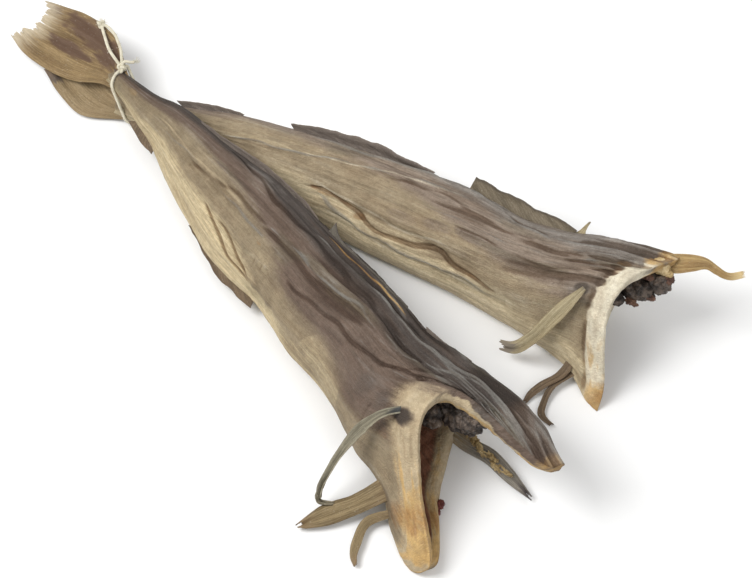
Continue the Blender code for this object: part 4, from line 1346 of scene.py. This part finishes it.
def combine(tree, operation, a, b):
    """Two values added, subtracted or multiplied."""
    made = tree.nodes.new("ShaderNodeMath")
    made.operation = operation
    put(tree, made.inputs[0], a)
    put(tree, made.inputs[1], b)
    return made.outputs[0]


def between(tree, value, low, high, to_low=0.0, to_high=1.0):
    """The value from low to high, stretched softly to another range."""
    made = tree.nodes.new("ShaderNodeMapRange")
    made.interpolation_type = "SMOOTHSTEP"
    put(tree, made.inputs["Value"], value)
    made.inputs["From Min"].default_value = low
    made.inputs["From Max"].default_value = high
    made.inputs["To Min"].default_value = to_low
    made.inputs["To Max"].default_value = to_high
    return made.outputs[0]


def mixed(tree, share, under, over, blend="MIX"):
    """One colour laid over another, as far as the share says."""
    made = tree.nodes.new("ShaderNodeMix")
    made.data_type = "RGBA"
    made.blend_type = blend
    put(tree, made.inputs[0], share)
    put(tree, made.inputs[6], under)
    put(tree, made.inputs[7], over)
    return made.outputs[2]


def bump(tree, shader, height, strength, distance):
    """Fine relief of the surface."""
    made = tree.nodes.new("ShaderNodeBump")
    made.inputs["Strength"].default_value = strength
    made.inputs["Distance"].default_value = distance
    tree.links.new(height, made.inputs["Height"])
    tree.links.new(made.outputs["Normal"], shader.inputs["Normal"])


def toned(tree, share, tone, low, high):
    """A colour that wavers between a darker and a lighter tone."""
    return mixed(tree, share, tuple(c * low for c in tone), tuple(c * high for c in tone))


def total(tree, *values):
    """Sum of the values."""
    made = values[0]
    for value in values[1:]:
        made = combine(tree, "ADD", made, value)
    return made


def share_of(tree, value, share):
    """The value times a share."""
    return combine(tree, "MULTIPLY", value, share)


def tinted(tree, share, colour, tint):
    """The colour darkened by a tint."""
    return mixed(tree, share, colour, TINTS[tint], "MULTIPLY")


def pigments(tree, palette, jitter, cloud, streak):
    """The colours of a hide laid over each other, each where its mask says; the last is painted shade
    deep in the side-fin pits.
    """
    palette = dict(palette, moss=MOSS, gold=GOLD, rust=RUST, deep_pit_shade=NEAR_BLACK)
    colour = toned(tree, between(tree, cloud, 0.35, 0.65), palette["beige"], 0.9, 1.08)
    for mask, most in LAYERS:
        share = between(tree, total(tree, attribute(tree, mask), jitter), 0.15, 0.85, 0.0, most)
        source, low, high = (cloud, 0.86, 1.1) if mask in ("bone", "gold") else (streak, 0.8, 1.14)
        tone = toned(tree, between(tree, source, 0.32, 0.68), palette[mask], low, high)
        colour = mixed(tree, share, colour, tone)
    return colour


def hide_material(name, palette):
    """Dried hide: layered pigments, painted highlights on the ridges, painted shade in the grooves and
    pits, streaks along the body and a fine dry grain.
    """
    material, tree, shader = new_material(name, 0.62)
    place = spots_from(tree, "Object", (1.0, 1.0, 1.0))
    streak = clouds(tree, spots_from(tree, "UV", (3.0, 34.0, 1.0)), 1.6, 4.0, 0.6)
    hair = clouds(tree, spots_from(tree, "UV", (6.0, 130.0, 1.0)), 1.4, 3.0, 0.6)
    net = cells(tree, spots_from(tree, "UV", (62.0, 88.0, 1.0)), 1.0)
    grit = clouds(tree, place, 620.0, 4.0, 0.65)
    cloud = clouds(tree, place, 70.0, 4.0, 0.6)
    mottle = clouds(tree, place, 330.0, 3.0, 0.6)
    jitter = total(tree, share_of(tree, combine(tree, "SUBTRACT", streak, 0.5), 0.5),
                   share_of(tree, combine(tree, "SUBTRACT", grit, 0.5), 0.3))
    colour = pigments(tree, palette, jitter, cloud, streak)
    # Painted highlight: the ridges and the nape flap are turned towards slate grey.
    ridge_highlight = total(tree, attribute(tree, "ridge_highlight"), jitter)
    colour = mixed(tree, between(tree, ridge_highlight, 0.25, 0.9, 0.0, 0.65), colour, RIDGE_HIGHLIGHT)
    shade = total(tree, attribute(tree, "shade"), jitter)
    colour = tinted(tree, between(tree, shade, 0.1, 0.65, 0.6, 0.0), colour, "shade")
    colour = mixed(tree, between(tree, shade, 0.6, 1.1, 0.0, 0.25), colour, TINTS["bleach"], "SCREEN")
    # Painted shade darkens the grooves, creases and side-fin pits.
    groove_shade = total(tree, attribute(tree, "groove_shade"), jitter)
    colour = tinted(tree, between(tree, groove_shade, 0.2, 0.85, 0.0, 0.85), colour, "groove_shade")
    skin = between(tree, attribute(tree, "bone"), 0.2, 0.8, 1.0, 0.2)
    hairs = share_of(tree, skin, between(tree, hair, 0.35, 0.7, 0.0, 0.5))
    colour = tinted(tree, hairs, colour, "hair")
    colour = tinted(tree, between(tree, net, 0.0, 0.12, 0.22, 0.0), colour, "net")
    colour = tinted(tree, between(tree, mottle, 0.42, 0.62, 0.0, 0.3), colour, "mottle")
    grains = share_of(tree, skin, between(tree, grit, 0.55, 0.72, 0.0, 0.35))
    colour = tinted(tree, grains, colour, "grit")
    put(tree, shader.inputs["Base Color"], colour)
    put(tree, shader.inputs["Roughness"], between(tree, streak, 0.2, 0.8, 0.5, 0.78))
    relief = total(tree, share_of(tree, hair, 0.5), share_of(tree, grit, 0.5),
                   between(tree, net, 0.0, 0.25, 0.0, 0.4), share_of(tree, mottle, 0.8))
    bump(tree, shader, relief, 0.8, 0.0012)
    return material


def fin_material(name, look):
    """Dried fin: pale rays, darker skin between them, patches, painted shade at the root of a side fin,
    and a worn tip.
    """
    root, web, ray, tip, patch = LOOKS[look]
    material, tree, shader = new_material(name, 0.58)
    lines = clouds(tree, spots_from(tree, "UV", (1.2, 11.0, 1.0)), 1.5, 4.0, 0.6)
    fine = clouds(tree, spots_from(tree, "UV", (3.0, 44.0, 1.0)), 1.5, 3.0, 0.6)
    place = spots_from(tree, "Object", (1.0, 1.0, 1.0))
    grit = clouds(tree, place, 500.0, 4.0, 0.6)
    cloud = clouds(tree, place, 60.0, 3.0, 0.6)
    along = total(tree, attribute(tree, "ray"), share_of(tree, lines, 0.3))
    colour = mixed(tree, between(tree, along, 0.15, 0.5), root, web)
    colour = mixed(tree, between(tree, cloud, 0.4, 0.7, 0.0, 0.6), colour, tuple(c * 0.65 for c in web))
    bright = total(tree, attribute(tree, "crease"), share_of(tree, lines, 0.8))
    colour = mixed(tree, between(tree, bright, 0.6, 1.15, 0.8, 0.0), colour, ray)
    colour = tinted(tree, between(tree, fine, 0.38, 0.62, 0.0, 0.65), colour, "web")
    # Dark patches, and painted shade at the root of a side fin.
    spot = total(tree, attribute(tree, "blot_and_root_shade"), share_of(tree, lines, 0.4))
    colour = mixed(tree, between(tree, spot, 0.2, 0.9, 0.0, 0.9), colour, patch)
    worn = total(tree, attribute(tree, "ray"), share_of(tree, lines, 0.25))
    colour = mixed(tree, between(tree, worn, 0.92, 1.15, 0.0, 0.9), colour, tip)
    colour = mixed(tree, between(tree, grit, 0.6, 0.78, 0.0, 0.3), colour, TINTS["dust"], "SCREEN")
    put(tree, shader.inputs["Base Color"], colour)
    put(tree, shader.inputs["Roughness"], between(tree, lines, 0.2, 0.8, 0.45, 0.75))
    bump(tree, shader, total(tree, fine, lines), 0.6, 0.0007)
    return material


def crumbly_material(name):
    """Broken, cloudy matter in three tones."""
    dark, middle, light, rough = CRUMBS[name]
    material, tree, shader = new_material(name, rough)
    place = spots_from(tree, "Object", (1.0, 1.0, 1.0))
    cloud = clouds(tree, place, 130.0, 5.0, 0.65)
    grit = clouds(tree, place, 700.0, 4.0, 0.65)
    colour = mixed(tree, between(tree, cloud, 0.4, 0.62), dark, middle)
    crumb = combine(tree, "MULTIPLY", cloud, grit)
    colour = mixed(tree, between(tree, crumb, 0.3, 0.42, 0.0, 0.8), colour, light)
    put(tree, shader.inputs["Base Color"], colour)
    put(tree, shader.inputs["Roughness"], between(tree, grit, 0.3, 0.7, rough - 0.15, rough + 0.1))
    bump(tree, shader, total(tree, cloud, grit), 0.7, 0.001)
    return material


def cotton_material():
    """Undyed cotton: pale fibres along each ply, with a little dirt."""
    material, tree, shader = new_material("undyed_cotton", 0.9)
    fibre = clouds(tree, spots_from(tree, "UV", (2.0, 16.0, 1.0)), 1.5, 4.0, 0.6)
    dirt = clouds(tree, spots_from(tree, "Object", (1.0, 1.0, 1.0)), 160.0, 3.0, 0.6)
    colour = toned(tree, between(tree, fibre, 0.3, 0.7), COTTON, 0.72, 1.0)
    colour = mixed(tree, between(tree, dirt, 0.5, 0.75, 0.0, 0.6), colour, COTTON_DIRT)
    put(tree, shader.inputs["Base Color"], colour)
    shader.inputs["Sheen Weight"].default_value = 0.3
    bump(tree, shader, fibre, 0.6, 0.0005)
    return material


def floor_material():
    """Pale paper, a little uneven."""
    material, tree, shader = new_material("studio_floor", 0.9)
    cloud = clouds(tree, spots_from(tree, "Object", (1.0, 1.0, 1.0)), 3.0, 2.0, 0.5)
    put(tree, shader.inputs["Base Color"], mixed(tree, cloud, *FLOOR_TONES))
    return material


def add_floor():
    """Pale floor, which only stages the pair."""
    deselect()
    bpy.ops.mesh.primitive_plane_add(size=FLOOR_SIZE, location=(0, 0, 0))
    floor = bpy.context.active_object
    floor.name = "studio_floor"
    floor.data.materials.append(floor_material())


def add_lights():
    """Soft lamps turned to the pair, and an even light from all sides."""
    for spot, size, power in LAMPS:
        bpy.ops.object.light_add(type="AREA", location=spot)
        lamp = bpy.context.active_object
        lamp.data.size = size
        lamp.data.energy = power
        lamp.rotation_euler = (-Vector(spot)).to_track_quat("-Z", "Y").to_euler()
    world = bpy.data.worlds.new("studio")
    world.use_nodes = True
    sky = world.node_tree.nodes["Background"]
    sky.inputs["Color"].default_value = (1.0, 1.0, 1.0, 1.0)
    sky.inputs["Strength"].default_value = SKY_LIGHT
    bpy.context.scene.world = world
    bpy.context.scene.view_settings.view_transform = "Standard"


def add_camera():
    """The camera at the angle of the photograph."""
    rise = math.radians(CAMERA_RISE)
    eye = Vector(CAMERA_TARGET) + Vector((0, -math.cos(rise), math.sin(rise))) * CAMERA_REACH
    bpy.ops.object.camera_add(location=eye, rotation=(math.pi / 2 - rise, 0, 0))
    camera = bpy.context.active_object
    camera.data.sensor_width = CAMERA_SENSOR
    camera.data.lens = CAMERA_LENS
    bpy.context.scene.camera = camera


def dress(label, fish, fins, lumps, hide_look, fin_looks, remains):
    """Everything that one fish is made of: gives back its hide and its tail fin."""
    node = "fish_" + label
    hide = hide_piece(label + "_hide", fish, hide_look, node)
    made = {}
    for number, (name, fin) in enumerate(fins.items()):
        seed = fish["seed"] * 30 + number
        look = fin_looks[fin["look"]]
        made[name] = fin_piece(label + "_fin_" + name, fish, fin, seed, look, node)
    lump_piece(label + "_remains", fish, lumps, 0.26, 7.0, remains, node)
    return hide, made["tail"]


def to_near():
    """From the frame, in metres, to the near fish's own frame."""
    turn = Euler([math.radians(angle) for angle in NEAR["turn"]]).to_matrix().to_4x4()
    turn.translation = Vector(np.subtract(NEAR["waist"], CENTRE) * MM)
    return turn.inverted()


def main():
    """Both fish, what sticks to them, the string and the stage."""
    near_hide = hide_material("near_hide", NEAR_HIDE)
    far_hide = hide_material("far_hide", FAR_HIDE)
    fin_looks = {look: fin_material("fin_" + look, look) for look in LOOKS}
    matter = {name: crumbly_material(name) for name in CRUMBS}
    remains = matter["dried_remains"]
    tied = list(dress("near", NEAR, NEAR_FINS, NEAR_LUMPS, near_hide, fin_looks, remains))
    tied += dress("far", FAR, FAR_FINS, FAR_LUMPS, far_hide, fin_looks, remains)
    for name, fish, lumps, crumple, crumbs, kind in SMALL_PIECES:
        label = name.split("_")[0]
        lump_piece(name, fish, lumps, crumple, crumbs, matter[kind], "fish_" + label)
    string_piece([mesh_of(piece, to_near()) for piece in tied], cotton_material())
    add_floor()
    add_lights()
    add_camera()


main()
